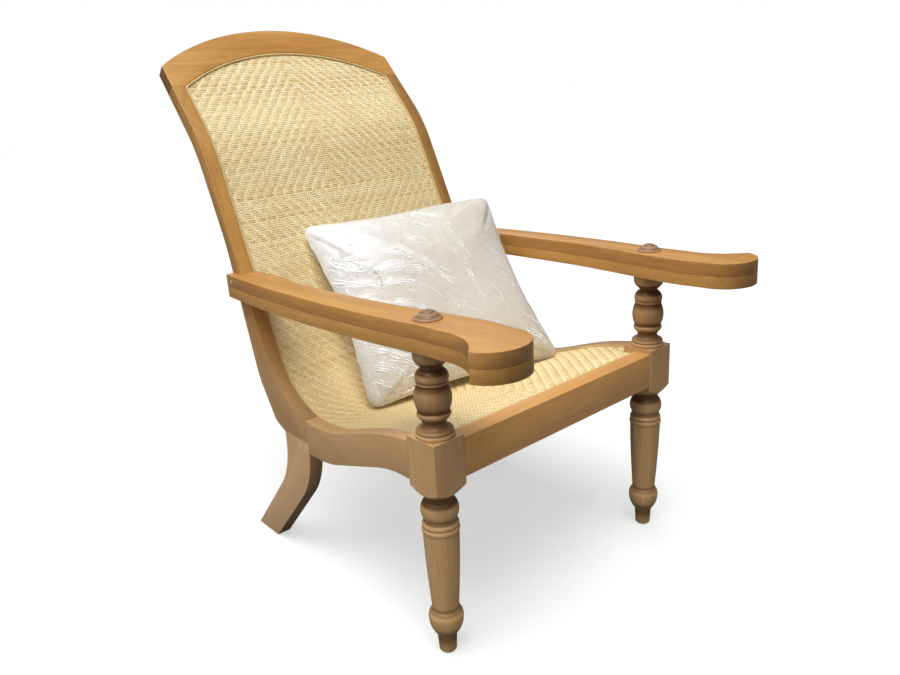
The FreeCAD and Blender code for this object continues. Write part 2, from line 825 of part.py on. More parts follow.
def centred_shift():
    """How far the chair moves so that the middle of its length is at y = 0."""
    front = -paddle_setback - paddle_radius
    crown = crest_corner + top_along * crest_rise - top_facing * top_thickness
    return -(front + crown.y) / 2


def chair():
    rail_dowels = Part.makeCompound([rail_front_dowels(), rail_rear_dowels()])
    leg_dowels = rear_leg_dowels()
    front_holes, cross_holes, crest_holes = front_rail_dowels(), cross_rail_dowels(), crest_dowels()
    pegs = arm_pegs()
    stile_holes = Part.makeCompound([rail_dowels, leg_dowels, cross_holes, crest_holes, pegs])
    frame = side_frame()
    sheet = cane_sheet()
    rest = resting_place(sheet)
    print("cushion centre", [round(value, 1) for value in rest.Base])
    right = {
        "front_leg": front_leg(Part.makeCompound([front_holes, rail_dowels])),
        "rear_leg": rear_leg(leg_dowels),
        "side_rail": side_rail(frame, rail_dowels),
        "back_stile": back_stile(frame, stile_holes),
        "arm": arm_board(pegs),
        "leg_rest": leg_rest(),
        "pivot_button": pivot_button(),
        "reed": reed_right(),
    }
    nodes = {}
    for name, shape in right.items():
        nodes[name + "_right"] = shape
        nodes[name + "_left"] = mirrored(shape)
    nodes.update({
        "crest_rail": crest_rail(crest_holes),
        "front_rail": front_rail(front_holes),
        "rear_cross_rail": cross_rail(cross_holes),
        "cane_sheet": sheet,
        "reed_front": reed_front(),
        "reed_top": reed_top(),
        "front_rail_dowels": front_holes,
        "side_rail_dowels": both_sides(rail_dowels),
        "rear_leg_dowels": both_sides(leg_dowels),
        "cross_rail_dowels": cross_holes,
        "crest_dowels": crest_holes,
        "arm_pegs": pegs,
        "cushion": placed(cushion_form(0), rest),
        "cushion_bag": placed(cushion_bag(), rest),
    })
    return nodes


def export(nodes):
    os.makedirs("parts", exist_ok=True)
    shift = Vector(0, centred_shift(), 0)
    for name, shape in nodes.items():
        solids = [solid.copy() for solid in shape.Solids]
        for solid in solids:
            solid.translate(shift)
        result = solids[0] if len(solids) == 1 else Part.makeCompound(solids)
        result.exportStep("parts/" + name + ".step")
        valid = "valid" if result.isValid() else "NOT VALID"
        print(name, len(solids), "solids", valid, round(result.Volume), result.BoundBox)


export(chair())
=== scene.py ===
# %% [markdown]
# # A planters chair with its cushion
# A planters chair is a low lounge chair with a raked cane back and very long arms. Under each arm lies
# a second board of the same outline, which swings out to carry the sitter's leg. This lesson takes the
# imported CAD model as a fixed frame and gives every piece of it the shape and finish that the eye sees:
# softened edges on the boards, crisp turnings, strands of cane that really go over and under, a filled
# cushion and the clear bag round it. Everything is in metres, in the frame of the CAD model.

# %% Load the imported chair
import math
import random

import bpy
import numpy as np
from mathutils import Matrix, Vector


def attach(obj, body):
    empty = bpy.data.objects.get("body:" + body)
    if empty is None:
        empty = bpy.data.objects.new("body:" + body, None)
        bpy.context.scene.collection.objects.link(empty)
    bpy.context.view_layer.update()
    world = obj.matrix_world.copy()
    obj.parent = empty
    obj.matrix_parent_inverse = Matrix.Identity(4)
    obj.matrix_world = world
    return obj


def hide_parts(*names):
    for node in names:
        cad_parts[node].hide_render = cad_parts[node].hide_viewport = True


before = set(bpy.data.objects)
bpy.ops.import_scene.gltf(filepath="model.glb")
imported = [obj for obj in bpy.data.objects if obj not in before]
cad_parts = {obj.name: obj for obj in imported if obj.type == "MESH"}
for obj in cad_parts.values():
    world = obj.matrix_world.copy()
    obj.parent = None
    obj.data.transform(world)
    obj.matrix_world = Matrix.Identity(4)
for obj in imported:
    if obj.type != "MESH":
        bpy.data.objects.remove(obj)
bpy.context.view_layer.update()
print("nodes:", len(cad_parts))

# %% [markdown]
# ## Driving sizes
# The turnings, the seat line and the cushion's pose are repeated here from the CAD source, because the
# pieces that are made new have to meet the ones that stay. Lengths are written in millimetres as on a
# workshop drawing, and MM turns them into metres.

# %% Sizes of the frame
MM = 0.001
SHIFT = -328.0              # the drawing's y = 0 is the front posts, the model's is its middle
POST_X, HALF_POST = 281.0, 32.5
BLOCK_BOTTOM, BLOCK_TOP = 314.5, 400.0
NECK_TOP, ARM_TOP = 543.6, 589.4
TURNED_RADIUS, TENON_RADIUS = 31.3, 10.8
FACE_STEP = 3.0             # how far the side frame lies inside the outer face of the post
WOOD_FACE = 28.0            # width of wood beside the cane
ARM_FALL = math.radians(1.23)
SIDES = (("right", -POST_X), ("left", POST_X))      # the sitter's, with the x of the post


def tangent(degrees):
    return math.tan(math.radians(degrees))


TOE_IN = tangent(1.93)      # the side frames come together towards the back


def frame_half_width(y, inset):
    """Half the width between the two side frames at y, less an inset on each side, in mm."""
    return POST_X + HALF_POST - FACE_STEP - TOE_IN * (y - HALF_POST) - inset


print("half width at the seat front:", round(frame_half_width(0.0, WOOD_FACE), 1), "mm")

# %% [markdown]
# ## Small tools for working by hand
# Blender's operators act on whatever is selected, so each step first clears the selection and then picks
# one piece. These few helpers keep that habit short, and say what came out.

# %% Selecting, naming and finishing
def only(piece):
    """Selects one piece and nothing else."""
    bpy.ops.object.select_all(action="DESELECT")
    piece.select_set(True)
    bpy.context.view_layer.objects.active = piece


def named(name):
    """Names the piece that an operator has just added."""
    piece = bpy.context.active_object
    piece.name = piece.data.name = name
    return piece


def added(name, mesh):
    """Puts a mesh into the scene as a piece of its own."""
    piece = bpy.data.objects.new(name, mesh)
    bpy.context.scene.collection.objects.link(piece)
    return piece


def coated(piece, finish):
    """Gives a piece one finish, in place of what it had."""
    piece.data.materials.clear()
    piece.data.materials.append(finish)


def marked(piece, mark, values, domain="POINT"):
    """Writes one number on every point or face of a piece, for its finish to read."""
    piece.data.attributes.new(mark, "FLOAT", domain).data.foreach_set("value", values)


def editing(piece):
    only(piece)
    bpy.ops.object.mode_set(mode="EDIT")
    bpy.ops.mesh.select_all(action="SELECT")


def done_editing():
    bpy.ops.object.mode_set(mode="OBJECT")


def modified(piece, kind, **settings):
    """Adds a modifier to a piece, sets it and applies it."""
    only(piece)
    bpy.ops.object.modifier_add(type=kind)
    modifier = piece.modifiers[-1]
    for setting, value in settings.items():
        setattr(modifier, setting, value)
    bpy.ops.object.modifier_apply(modifier=modifier.name)


def rounded(piece, width, angle):
    """Breaks the sharp edges, as a few strokes of sandpaper do."""
    modified(piece, "BEVEL", width=width * MM, segments=3, limit_method="ANGLE",
             angle_limit=math.radians(angle))


def smoothed(piece, angle=35.0):
    only(piece)
    bpy.ops.object.shade_smooth_by_angle(angle=math.radians(angle))


def points_of(mesh):
    """The places of a mesh's vertices, one row each."""
    places = np.empty(len(mesh.vertices) * 3)
    mesh.vertices.foreach_get("co", places)
    return places.reshape(-1, 3)


def report(piece):
    print(piece.name, len(piece.data.vertices), "vertices", len(piece.data.polygons), "faces")


print("tools ready")

# %% [markdown]
# ## Writing shader maths as plain expressions
# A wood or cane finish is a handful of numbers that vary over the surface. Wrapping a node's output in a
# small class lets those numbers be added and multiplied in Python, and every sign adds its Math node.

# %% A value on a surface
class Value:
    """The output of a node, with arithmetic."""

    def __init__(self, finish, socket):
        self.finish, self.socket = finish, socket

    def maths(self, operation, *terms):
        return self.finish.node("ShaderNodeMath", {"operation": operation}, dict(enumerate(terms)))

    def __add__(self, other):
        return self.maths("ADD", self, other)

    def __radd__(self, other):
        return self.maths("ADD", other, self)

    def __sub__(self, other):
        return self.maths("SUBTRACT", self, other)

    def __rsub__(self, other):
        return self.maths("SUBTRACT", other, self)

    def __mul__(self, other):
        return self.maths("MULTIPLY", self, other)

    def __rmul__(self, other):
        return self.maths("MULTIPLY", other, self)

    def power(self, exponent):
        return self.maths("POWER", self, exponent)

    def size(self):
        return self.maths("ABSOLUTE", self)

    def off_line(self):
        """How far a counted value lies from the nearest line, with one line in each whole count."""
        return (self.maths("FRACT", self) - 0.5).size()

    def between(self, low, high):
        """0 below low, 1 above high and smooth in between."""
        return self.finish.node("ShaderNodeMapRange", {"interpolation_type": "SMOOTHSTEP"},
                                {"Value": self, "From Min": low, "From Max": high})


print("values can be added, subtracted and multiplied")

# %% A finish and its nodes
class Finish:
    """One material on its way: a Principled shader and the nodes that feed it."""

    def __init__(self, name, **constants):
        self.material = bpy.data.materials.new(name)
        self.material.use_nodes = True
        self.tree = self.material.node_tree
        self.shader = self.tree.nodes["Principled BSDF"]
        for socket, value in constants.items():
            self.shader.inputs[socket.replace("_", " ")].default_value = value

    def node(self, kind, settings, inputs, output=0):
        """Adds a node: its settings first, then the values or links of its sockets."""
        made = self.tree.nodes.new(kind)
        for name, value in settings.items():
            setattr(made, name, value)
        for place, value in inputs.items():
            if isinstance(value, Value):
                self.tree.links.new(value.socket, made.inputs[place])
            else:
                made.inputs[place].default_value = value
        return Value(self, made.outputs[output])

    def feed(self, socket, value):
        self.tree.links.new(value.socket, self.shader.inputs[socket])

    def place(self, turn=(0, 0, 0), centre=(0, 0, 0), scale=(1, 1, 1)):
        """Object coordinates, seen from a turned and moved frame, then stretched."""
        spot = self.node("ShaderNodeTexCoord", {}, {}, "Object")
        spot = self.node("ShaderNodeMapping", {"vector_type": "TEXTURE"},
                         {"Vector": spot, "Location": centre, "Rotation": turn})
        return self.node("ShaderNodeMapping", {}, {"Vector": spot, "Scale": scale})

    def cloud(self, spot, scale, detail=3.0, rough=0.5, bend=0.0):
        return self.node("ShaderNodeTexNoise", {},
                         {"Vector": spot, "Scale": scale, "Detail": detail, "Roughness": rough,
                          "Distortion": bend}, "Fac")

    def attribute(self, name):
        return self.node("ShaderNodeAttribute", {"attribute_name": name}, {}, "Fac")

    def part(self, spot, axis):
        """One coordinate of a place."""
        return self.node("ShaderNodeSeparateXYZ", {}, {"Vector": spot}, axis)

    def between(self, share, first, second):
        """One colour turning into another."""
        return self.node("ShaderNodeMix", {"data_type": "RGBA"}, {0: share, 6: first, 7: second}, 2)

    def bump(self, height, depth):
        raised = self.node("ShaderNodeBump", {}, {"Height": height, "Distance": depth, "Strength": 1.0})
        self.feed("Normal", raised)

    def done(self, colour, roughness, height, depth):
        """Feeds the shader with what every finish has, and hands the material over."""
        self.feed("Base Color", colour)
        self.feed("Roughness", roughness)
        self.bump(height, depth)
        return self.material


def screen(red, green, blue):
    """A colour as it looks on the screen, 0 to 255, in the shader's linear numbers."""
    shares = [value / 255 for value in (red, green, blue)]
    return tuple(((s + 0.055) / 1.055) ** 2.4 if s > 0.04 else s / 12.92 for s in shares) + (1.0,)


def grey(value):
    return (value, value, value, 1.0)


WHITE, BLACK = grey(1.0), grey(0.0)
print("one expression makes its own nodes")

# %% [markdown]
# ## The wood
# The frame is a straight-grained brown hardwood under a satin finish. Grain could be painted as an image,
# but then it would need unwrapping piece by piece. Noise that is stretched along the board's length gives
# the same long figure, runs right through the solid, and so shows end grain where a board is cut across.
# Three sizes of it are laid over each other: broad bands of growth, fine streaks, and the short dark
# pores that catch the light. Boards are browner where they cut the grain, and paler and greyer low down,
# as the picture shows; that paleness is painted sheen. On turned pieces the tinted glaze has stayed in the
# grooves, the neck under the arm and the bead under the block are painted darker as shade, and the peg at
# the foot is darker too.

# %% Grain that follows a board
GRAIN_STRETCH = 0.07        # how slowly the figure changes along the board, against across it


def wood(name, along, light, dark, turn=(0, 0, 0), grooves=False, low_sheen=0.42):
    """along: axis of the grain before turn; faded: painted sheen, how pale and grey the low parts are;
    heights are in metres.
    """
    finish = Finish(name, Specular_IOR_Level=0.4, Coat_Weight=0.16, Coat_Roughness=0.24)
    slow = tuple(GRAIN_STRETCH if axis == along else 1 for axis in "XYZ")
    spot = finish.place(turn=turn, scale=slow)
    bands = finish.cloud(spot, 26.0, 2.0, 0.45, 0.7)
    streaks = finish.cloud(spot, 150.0, 4.0, 0.6, 0.3)
    fibres = finish.cloud(spot, 900.0, 2.0, 0.5)
    drift = finish.cloud(finish.place(), 5.0, 2.0)
    share = (bands * 0.7 + streaks * 0.7 + drift * 0.35 - 0.88).between(-0.46, 0.5)
    colour = finish.between(share, dark, light)
    pores = fibres.between(0.60, 0.72) * streaks.between(0.35, 0.6)
    in_pore = tuple(value * 0.45 for value in dark[:3]) + (1.0,)
    colour = finish.between(pores * 0.35, colour, in_pore)
    height = finish.part(finish.place(), "Z")
    if grooves:
        glaze = finish.attribute("groove")
        # painted shade: darker on the neck, which lies under the arm, and on the bead under the block; the
        # peg at the foot is darker too
        neck = (height.between(0.40, 0.45) - height.between(0.570, 0.585)) * 0.42
        bead = (1.0 - (height - 0.285).size().between(0.0, 0.032)) * 0.34
        foot = (1.0 - height.between(0.026, 0.036)) * 0.30
        # the glaze in the grooves, with the painted shade of neck and bead added to it
        glaze_and_shade = (glaze * 0.8 + glaze * drift * 0.25).between(0.05, 0.95) * 0.55 + neck + bead + foot
        colour = finish.between(glaze_and_shade.between(0.0, 1.0), colour, screen(102, 64, 24))
    else:
        # painted sheen: the low parts are made paler and greyer
        low = (1.0 - height.between(0.34, 0.52)) * low_sheen
        colour = finish.between(low, colour, screen(192, 160, 124))
        colour = finish.between(finish.attribute("end_grain") * 0.68, colour, screen(96, 68, 34))
    rough = 0.36 + streaks * 0.16 + pores * 0.2
    return finish.done(colour, rough, streaks * 0.35 - pores * 0.8, 0.16 * MM)


HONEY, SHADE = (222, 168, 92), (178, 122, 54)
UP_STILE, DOWN_LEG = (math.radians(-26), 0, 0), (math.radians(33), 0, 0)
WOODS = (       # key, title, axis of the grain, light and dark colour, what else differs
    ("arms", "honey wood along the arms", "Y", (213, 159, 86), (168, 113, 50), {}),
    ("rests", "honey wood along the leg rests", "Y", HONEY, SHADE, {}),
    ("cross", "honey wood across the chair", "X", HONEY, SHADE, {}),
    ("rails", "honey wood along the rails", "X", (236, 174, 80), (190, 126, 46), {"low_sheen": 0.34}),
    ("stile_right", "honey wood up the right stile", "Z", (215, 163, 90), (170, 117, 53),
     {"turn": UP_STILE}),
    ("stile_left", "honey wood up the left stile", "Z", (188, 144, 82), (146, 102, 48),
     {"turn": UP_STILE}),
    ("shank", "pale wood down the rear legs", "Z", (248, 204, 148), (214, 168, 114),
     {"turn": DOWN_LEG}),
    ("side", "pale wood along the side rails", "Y", (220, 172, 108), (180, 130, 70), {}),
    ("turned", "turned wood of the front legs", "Z", (218, 176, 122), (178, 138, 88),
     {"grooves": True}),
    ("button", "dark turned wood of the buttons", "Z", (188, 156, 120), (146, 114, 84),
     {"grooves": True}),
    ("dowel", "pale dowel wood", "X", (214, 184, 138), (186, 150, 102), {}),
)
timber = {key: wood(title, axis, screen(*light), screen(*dark), **more)
          for key, title, axis, light, dark, more in WOODS}
print("woods:", len(timber))

# %% [markdown]
# ## Boards with softened edges
# Rails, stiles, arms and leg rests are flat boards sawn to an outline. Their CAD shapes are right, but
# every edge is a perfect corner, which no hand ever leaves and no light ever catches. Each board is
# copied, its loose triangles are merged into whole faces, and a narrow bevel breaks its edges. A bevel on
# the CAD node itself would tear it open, because its triangles aren't joined. Each face is then marked
# with how squarely it cuts the grain, so that the finish can show end grain.

# %% One board from its CAD node
ACROSS, BACKWARDS = (1, 0, 0), (0, 1, 0)
GRAIN = {"arm": BACKWARDS, "leg_rest": BACKWARDS, "side_rail": BACKWARDS,
         "front_rail": ACROSS, "rear_cross_rail": ACROSS, "crest_rail": ACROSS,
         "back_stile": (0, 0.44, 0.9), "rear_leg": (0, 0.54, 0.84)}
SAME_POINT = 0.02           # mm: points of the CAD mesh that are nearer than this are one point


def board(node, finish, width=1.3, angle=35.0):
    """A copy of a CAD node with its edges broken; width is that of the bevel."""
    piece = added(node + "_board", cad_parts[node].data.copy())
    editing(piece)
    bpy.ops.mesh.remove_doubles(threshold=SAME_POINT * MM)
    bpy.ops.mesh.dissolve_limited(angle_limit=math.radians(0.6))
    done_editing()
    rounded(piece, width, angle)
    smoothed(piece)
    along = Vector(GRAIN.get(node.replace("_right", "").replace("_left", ""), (0, 0, 0)))
    cut = [abs(face.normal.dot(along)) ** 1.7 for face in piece.data.polygons]
    marked(piece, "end_grain", cut, "FACE")
    coated(piece, finish)
    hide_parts(node)
    return piece


print("kinds of board with a known grain:", len(GRAIN))

# %% All the boards
boards = {}
for side, _ in SIDES:
    boards["arm_" + side] = board("arm_" + side, timber["arms"], 1.0)
    boards["leg_rest_" + side] = board("leg_rest_" + side, timber["rests"], 1.5)
    boards["side_rail_" + side] = board("side_rail_" + side, timber["side"])
    boards["back_stile_" + side] = board("back_stile_" + side, timber["stile_" + side])
    boards["rear_leg_" + side] = board("rear_leg_" + side, timber["shank"], 1.6)
boards["crest_rail"] = board("crest_rail", timber["cross"])
boards["front_rail"] = board("front_rail", timber["rails"])
boards["rear_cross_rail"] = board("rear_cross_rail", timber["rails"])
for name, piece in boards.items():
    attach(piece, name if name.startswith("leg_rest") else "chair")
    report(piece)

# %% [markdown]
# ## Turned front legs
# Each front leg is one billet of wood. The turner leaves it square where the rails meet it and cuts the
# round parts on the lathe, so the square block ends in hollow shoulders where the round begins. The same
# is done here: the profile is spun round its axis, and what it has in common with a square billet is the
# leg. The CAD leg has these shapes too, but its facets would show on a surface that catches so much light.

# %% The turner's profile: (share of the height, share of the radius, bulge)
FOOT = (
    (0, 0.4, 0), (0.01, 0.475, 0), (0.111, 0.535, 0), (0.117, 0.59, 0.01), (0.21, 0.945, 0.085),
    (0.267, 0.74, 0.075), (0.273, 0.72, 0), (0.738, 0.965, 0.03), (0.764, 0.97, 0.04), (0.768, 0.93, 0),
    (0.792, 0.945, 0.04), (0.798, 0.88, 0), (0.82, 0.875, -0.01), (0.916, 0.815, 0.16),
    (0.922, 0.75, 0), (0.935, 0.75, 0),
)
NECK = (
    (0, 0.972, 0), (0.049, 0.958, 0.045), (0.053, 0.915, 0), (0.094, 0.895, 0.045), (0.101, 0.83, 0),
    (0.15, 0.615, -0.05), (0.164, 0.607, 0), (0.225, 0.805, -0.03), (0.237, 0.82, 0),
    (0.286, 0.825, 0.055), (0.297, 0.785, 0), (0.59, 0.81, 0.16), (0.597, 0.767, 0),
    (0.635, 0.805, 0.04), (0.645, 0.785, 0), (0.677, 0.853, 0.025), (0.782, 0.518, 0.085),
    (0.795, 0.51, 0), (0.82, 0.62, 0.025), (0.827, 0.655, 0), (0.907, 0.892, 0.05), (1, 0.914, 0.01),
)
BUTTON = (
    (0, 1, 0), (0.2, 0.985, 0.04), (0.27, 0.9, 0), (0.5, 0.72, -0.03), (0.55, 0.7, 0),
    (0.7, 0.62, 0.03), (0.73, 0.5, 0), (0.92, 0.27, 0.05), (0.94, 0.2, 0), (1, 0.05, 0.03),
)


def swept(start, end, bulge):
    """Points from start to end along an arc that stands out by bulge, without its first point."""
    if bulge == 0:
        return [end]
    (r0, z0), (r1, z1) = start, end
    length = math.hypot(r1 - r0, z1 - z0)
    out = ((z1 - z0) / length, (r0 - r1) / length)
    radius = (length ** 2 / 4 + bulge ** 2) / (2 * abs(bulge))
    half = math.asin(min(1.0, length / 2 / radius))
    if abs(bulge) > length / 2:
        half = math.pi - half
    steps = max(4, math.ceil(2 * half * radius / 1.1))
    middle = ((r0 + r1) / 2, (z0 + z1) / 2)
    lean = math.copysign(radius - abs(bulge), bulge)
    hub = (middle[0] - out[0] * lean, middle[1] - out[1] * lean)
    first = math.atan2(z0 - hub[1], r0 - hub[0])
    turn = (math.atan2(z1 - hub[1], r1 - hub[0]) - first + math.pi) % (2 * math.pi) - math.pi
    angles = [first + turn * step / steps for step in range(1, steps + 1)]
    return [(hub[0] + radius * math.cos(a), hub[1] + radius * math.sin(a)) for a in angles]


def outline(shares, length, radius, start):
    """Half the outline of a turning, from its shares, as (radius, height) in mm."""
    stops = [(r * radius, start + h * length) for h, r, _ in shares]
    points = [stops[0]]
    for before, after, (_, _, bulge) in zip(stops, stops[1:], shares[1:]):
        points += swept(before, after, bulge * radius)
    return points


corner = math.hypot(HALF_POST, HALF_POST)
beyond = corner + 1.2               # the profile clears the billet here, so the block stays square
neck_end = NECK_TOP - 0.3           # a hair below the leg rest that turns on it
tenon_end = ARM_TOP + 4.0           # inside the button
foot = outline(FOOT, BLOCK_BOTTOM, TURNED_RADIUS, 0.0)
shoulder = swept(foot[-1], (corner, BLOCK_BOTTOM), -0.07 * TURNED_RADIUS)
neck = outline(NECK, NECK_TOP - BLOCK_TOP, TURNED_RADIUS, BLOCK_TOP)
neck[-1] = (neck[-1][0], neck_end)
leg_profile = ([(0.0, 0.0)] + foot + shoulder + [(beyond, BLOCK_BOTTOM), (beyond, BLOCK_TOP)] + neck
               + [(TENON_RADIUS, neck_end), (TENON_RADIUS, tenon_end), (0.0, tenon_end)])
print("points in the leg's profile:", len(leg_profile))

# %% [markdown]
# Spinning starts from a ring of vertices. Each is set on the profile, the edge along the axis is taken
# out, and the spin operator carries the rest round. The first and last station fall together, and so do
# all points on the axis, so doubles are merged before the normals are turned outwards.

# %% Spin a profile into a turning
def spun(name, profile, steps=64):
    bpy.ops.object.select_all(action="DESELECT")
    bpy.ops.mesh.primitive_circle_add(vertices=len(profile), radius=0.01, fill_type="NOTHING")
    piece = named(name)
    for vertex, (r, z) in zip(piece.data.vertices, profile):
        vertex.co = (r * MM, 0, z * MM)
    ends = {0, len(profile) - 1}
    for edge in piece.data.edges:
        edge.select = set(edge.vertices) == ends
    for vertex in piece.data.vertices:
        vertex.select = vertex.index in ends
    bpy.ops.object.mode_set(mode="EDIT")
    bpy.ops.mesh.select_mode(type="EDGE")
    bpy.ops.mesh.delete(type="EDGE")
    bpy.ops.mesh.select_mode(type="VERT")
    bpy.ops.mesh.select_all(action="SELECT")
    bpy.ops.mesh.spin(steps=steps, angle=2 * math.pi, center=(0, 0, 0), axis=(0, 0, 1))
    bpy.ops.mesh.select_all(action="SELECT")
    bpy.ops.mesh.remove_doubles(threshold=0.01 * MM)
    bpy.ops.mesh.normals_make_consistent(inside=False)
    done_editing()
    return piece


def grooved(piece, profile, reach=9.0, deep=3.2):
    """Marks how deep each point lies below the swell of the profile near it, where glaze collects."""
    heights = np.array([z for _, z in profile])
    radii = np.array([r for r, _ in profile])
    glaze = []
    for vertex in piece.data.vertices:
        r, z = math.hypot(vertex.co.x, vertex.co.y) / MM, vertex.co.z / MM
        near = np.abs(heights - z) < reach
        square = max(abs(vertex.co.x), abs(vertex.co.y)) / MM > HALF_POST - 0.4
        depth = 0.0 if square or not near.any() else min(radii[near].max(), HALF_POST) - r
        glaze.append(min(1.0, max(0.0, depth / deep)) ** 1.5)
    marked(piece, "groove", glaze)


lathe_leg = spun("lathe_leg", leg_profile)
report(lathe_leg)

# %% [markdown]
# The billet is a box with its four long edges broken, added at the block's size. A boolean keeps what the
# spun profile and the billet share, which is just what the lathe leaves. The groove marks are written
# afterwards, since a boolean makes new points along every cut.

# %% The square block
bpy.ops.object.select_all(action="DESELECT")
bpy.ops.mesh.primitive_cube_add(size=1.0)
billet = named("billet")
BILLET_BOTTOM, BILLET_TOP = -5.0, ARM_TOP + 20      # past both ends of the profile
for vertex in billet.data.vertices:
    vertex.co = (math.copysign(HALF_POST, vertex.co.x) * MM, math.copysign(HALF_POST, vertex.co.y) * MM,
                 (BILLET_TOP if vertex.co.z > 0 else BILLET_BOTTOM) * MM)
bpy.ops.object.mode_set(mode="EDIT")
bpy.ops.mesh.select_mode(type="EDGE")
bpy.ops.mesh.select_all(action="DESELECT")
done_editing()
for edge in billet.data.edges:
    low, high = (billet.data.vertices[i].co for i in edge.vertices)
    edge.select = abs(low.z - high.z) > 0.1
bpy.ops.object.mode_set(mode="EDIT")
bpy.ops.mesh.bevel(offset=1.6 * MM, segments=3)
done_editing()

modified(lathe_leg, "BOOLEAN", operation="INTERSECT", object=billet, solver="EXACT")
bpy.data.objects.remove(billet)
grooved(lathe_leg, leg_profile)
smoothed(lathe_leg, 28)
coated(lathe_leg, timber["turned"])
report(lathe_leg)

# %% [markdown]
# The right and left legs are copies of one mesh, each moved in its mesh to its own post, so that both
# objects stay at the origin. The grain noise is read in object coordinates, so the two don't look alike.

# %% Place the two legs
for side, x in SIDES:
    leg = added("turned_leg_" + side, lathe_leg.data.copy())
    leg.data.transform(Matrix.Translation((x * MM, SHIFT * MM, 0)))
    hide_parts("front_leg_" + side)
    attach(leg, "chair")
    report(leg)
bpy.data.objects.remove(lathe_leg)

# %% [markdown]
# ## The buttons
# A small dark cap closes the hole where the leg's tenon comes through the arm. It is spun as the legs
# are, from a flat ogee profile, and tipped with the arm, which falls a little towards the back.

# %% Spin and place the buttons
BUTTON_HEIGHT, BUTTON_RADIUS, BUTTON_LIFT = 13.6, 22.4, 0.02
button_profile = ([(0.0, BUTTON_LIFT)] + outline(BUTTON, BUTTON_HEIGHT, BUTTON_RADIUS, BUTTON_LIFT)
                  + [(0.0, 13.66)])
to_arm = Matrix.Translation((0, 0, (ARM_TOP - NECK_TOP) * MM))
tip = Matrix.Rotation(-ARM_FALL, 4, "X")
for side, x in SIDES:
    button = spun("turned_button_" + side, button_profile, 56)
    grooved(button, button_profile, 2.2, 2.4)
    smoothed(button, 40)
    button.data.transform(Matrix.Translation((x * MM, SHIFT * MM, NECK_TOP * MM)) @ tip @ to_arm)
    button.data.materials.append(timber["button"])
    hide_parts("pivot_button_" + side)
    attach(button, "chair")
    report(button)

# %% [markdown]
# ## Dowels and pegs
# They hold the frame together from inside and keep their CAD shapes. They still get a finish of their
# own, a pale and slightly rough wood, because a library part may be opened up or taken apart.

# %% Finish the hidden pieces
for name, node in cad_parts.items():
    if name.endswith("dowels") or name == "arm_pegs":
        coated(node, timber["dowel"])
        print(name, "finished")

# %% [markdown]
# ## The line of seat and back
# The cane follows the front edge of the side frames: straight and slightly falling, a hollow for the
# sitter, a rounded corner and the raked back with its own bend. The line is a chain of straight runs
# with arcs between them. It is sampled finely here, with its normal, so that every strand can be laid at
# a chosen distance below the wood.

# %% Sample the line
def chain(corners, step=4.0):
    """Points and normals along straight runs joined by arcs; the normals point to the sitter."""
    points = []
    for i, (y, z, radius) in enumerate(corners):
        here = np.array([y, z])
        if radius == 0:
            points.append(here)
            continue
        back = np.array(corners[i - 1][:2]) - here
        on = np.array(corners[i + 1][:2]) - here
        back, on = back / np.linalg.norm(back), on / np.linalg.norm(on)
        half = math.acos(float(back @ on)) / 2
        start, end = here + back * radius / math.tan(half), here + on * radius / math.tan(half)
        middle = (back + on) / np.linalg.norm(back + on)
        hub = here + middle * radius / math.sin(half)
        first = math.atan2(*(start - hub)[::-1])
        turn = (math.atan2(*(end - hub)[::-1]) - first + math.pi) % (2 * math.pi) - math.pi
        count = max(6, math.ceil(abs(turn) * radius / step))
        for k in range(count + 1):
            angle = first + turn * k / count
            points.append(hub + radius * np.array([math.cos(angle), math.sin(angle)]))
    points = np.array(points)
    lengths = np.linalg.norm(np.diff(points, axis=0), axis=1)
    fine = np.arange(0.0, lengths.sum(), 1.5)
    along = np.r_[0.0, np.cumsum(lengths)]
    smooth = np.stack([np.interp(fine, along, points[:, k]) for k in (0, 1)], axis=1)
    slope = np.gradient(smooth, axis=0)
    slope /= np.linalg.norm(slope, axis=1)[:, None]
    return fine, smooth, np.stack([-slope[:, 1], slope[:, 0]], axis=1)


CANE_START, SEAT_DROP = 1.9, 10.5   # behind the front face, and below the top of the leg's block
DIP, SHOULDER = 322.0, 827.0        # heights of the lowest run of the seat and of the back's bend
CREST_RUN = 40.0                    # the line goes on past the crest by this much


def seat_height(y):
    return BLOCK_TOP - SEAT_DROP - tangent(6.8) * (y - HALF_POST)


BEND = (437.0 + tangent(23.3) * (SHOULDER - DIP), SHOULDER)
RISE = np.array([math.sin(math.radians(41.0)), math.cos(math.radians(41.0))])
CREST = np.array(BEND) + 195.0 * RISE
line_end = CREST + CREST_RUN * RISE
line = chain([(CANE_START, seat_height(CANE_START), 0), (103.0, seat_height(103.0), 600.0),
              (274.0, DIP, 320.0), (437.0, DIP, 165.0), (BEND[0], BEND[1], 320.0),
              (line_end[0], line_end[1], 0)])
line_length = line[0][-1]
crest_at = line_length - CREST_RUN
print("length of the woven surface:", round(line_length), "mm")


def at(s, column):
    """The line's points (column 1) or normals (column 2) at the lengths s."""
    return (np.interp(s, line[0], line[column][:, k]) for k in (0, 1))


def on_surface(x, s, depth):
    """A point of the woven surface, in metres: across, along the line and below the wood's edge."""
    (y, z), (ny, nz) = at(s, 1), at(s, 2)
    return np.stack([x + 0 * y, y - ny * depth + SHIFT, z - nz * depth], axis=-1) * MM


# %% [markdown]
# ## The woven cane
# The sheet is split cane in a twill. A cross strand runs over four long ones and under two, and each row
# starts one strand further on, which draws slanting ribs. The ribs turn back along the middle and once
# across the back, so that the whole mat is one large diamond. A bump map could suggest this, but the
# small dark gaps between strands are what makes cane look like cane, so each strand is a real ribbon.
# Laying hundreds of them one edit at a time isn't work for operators, so one flat section is carried
# along all paths in code. It has points only where a strand dives or rises, to keep the mesh light.

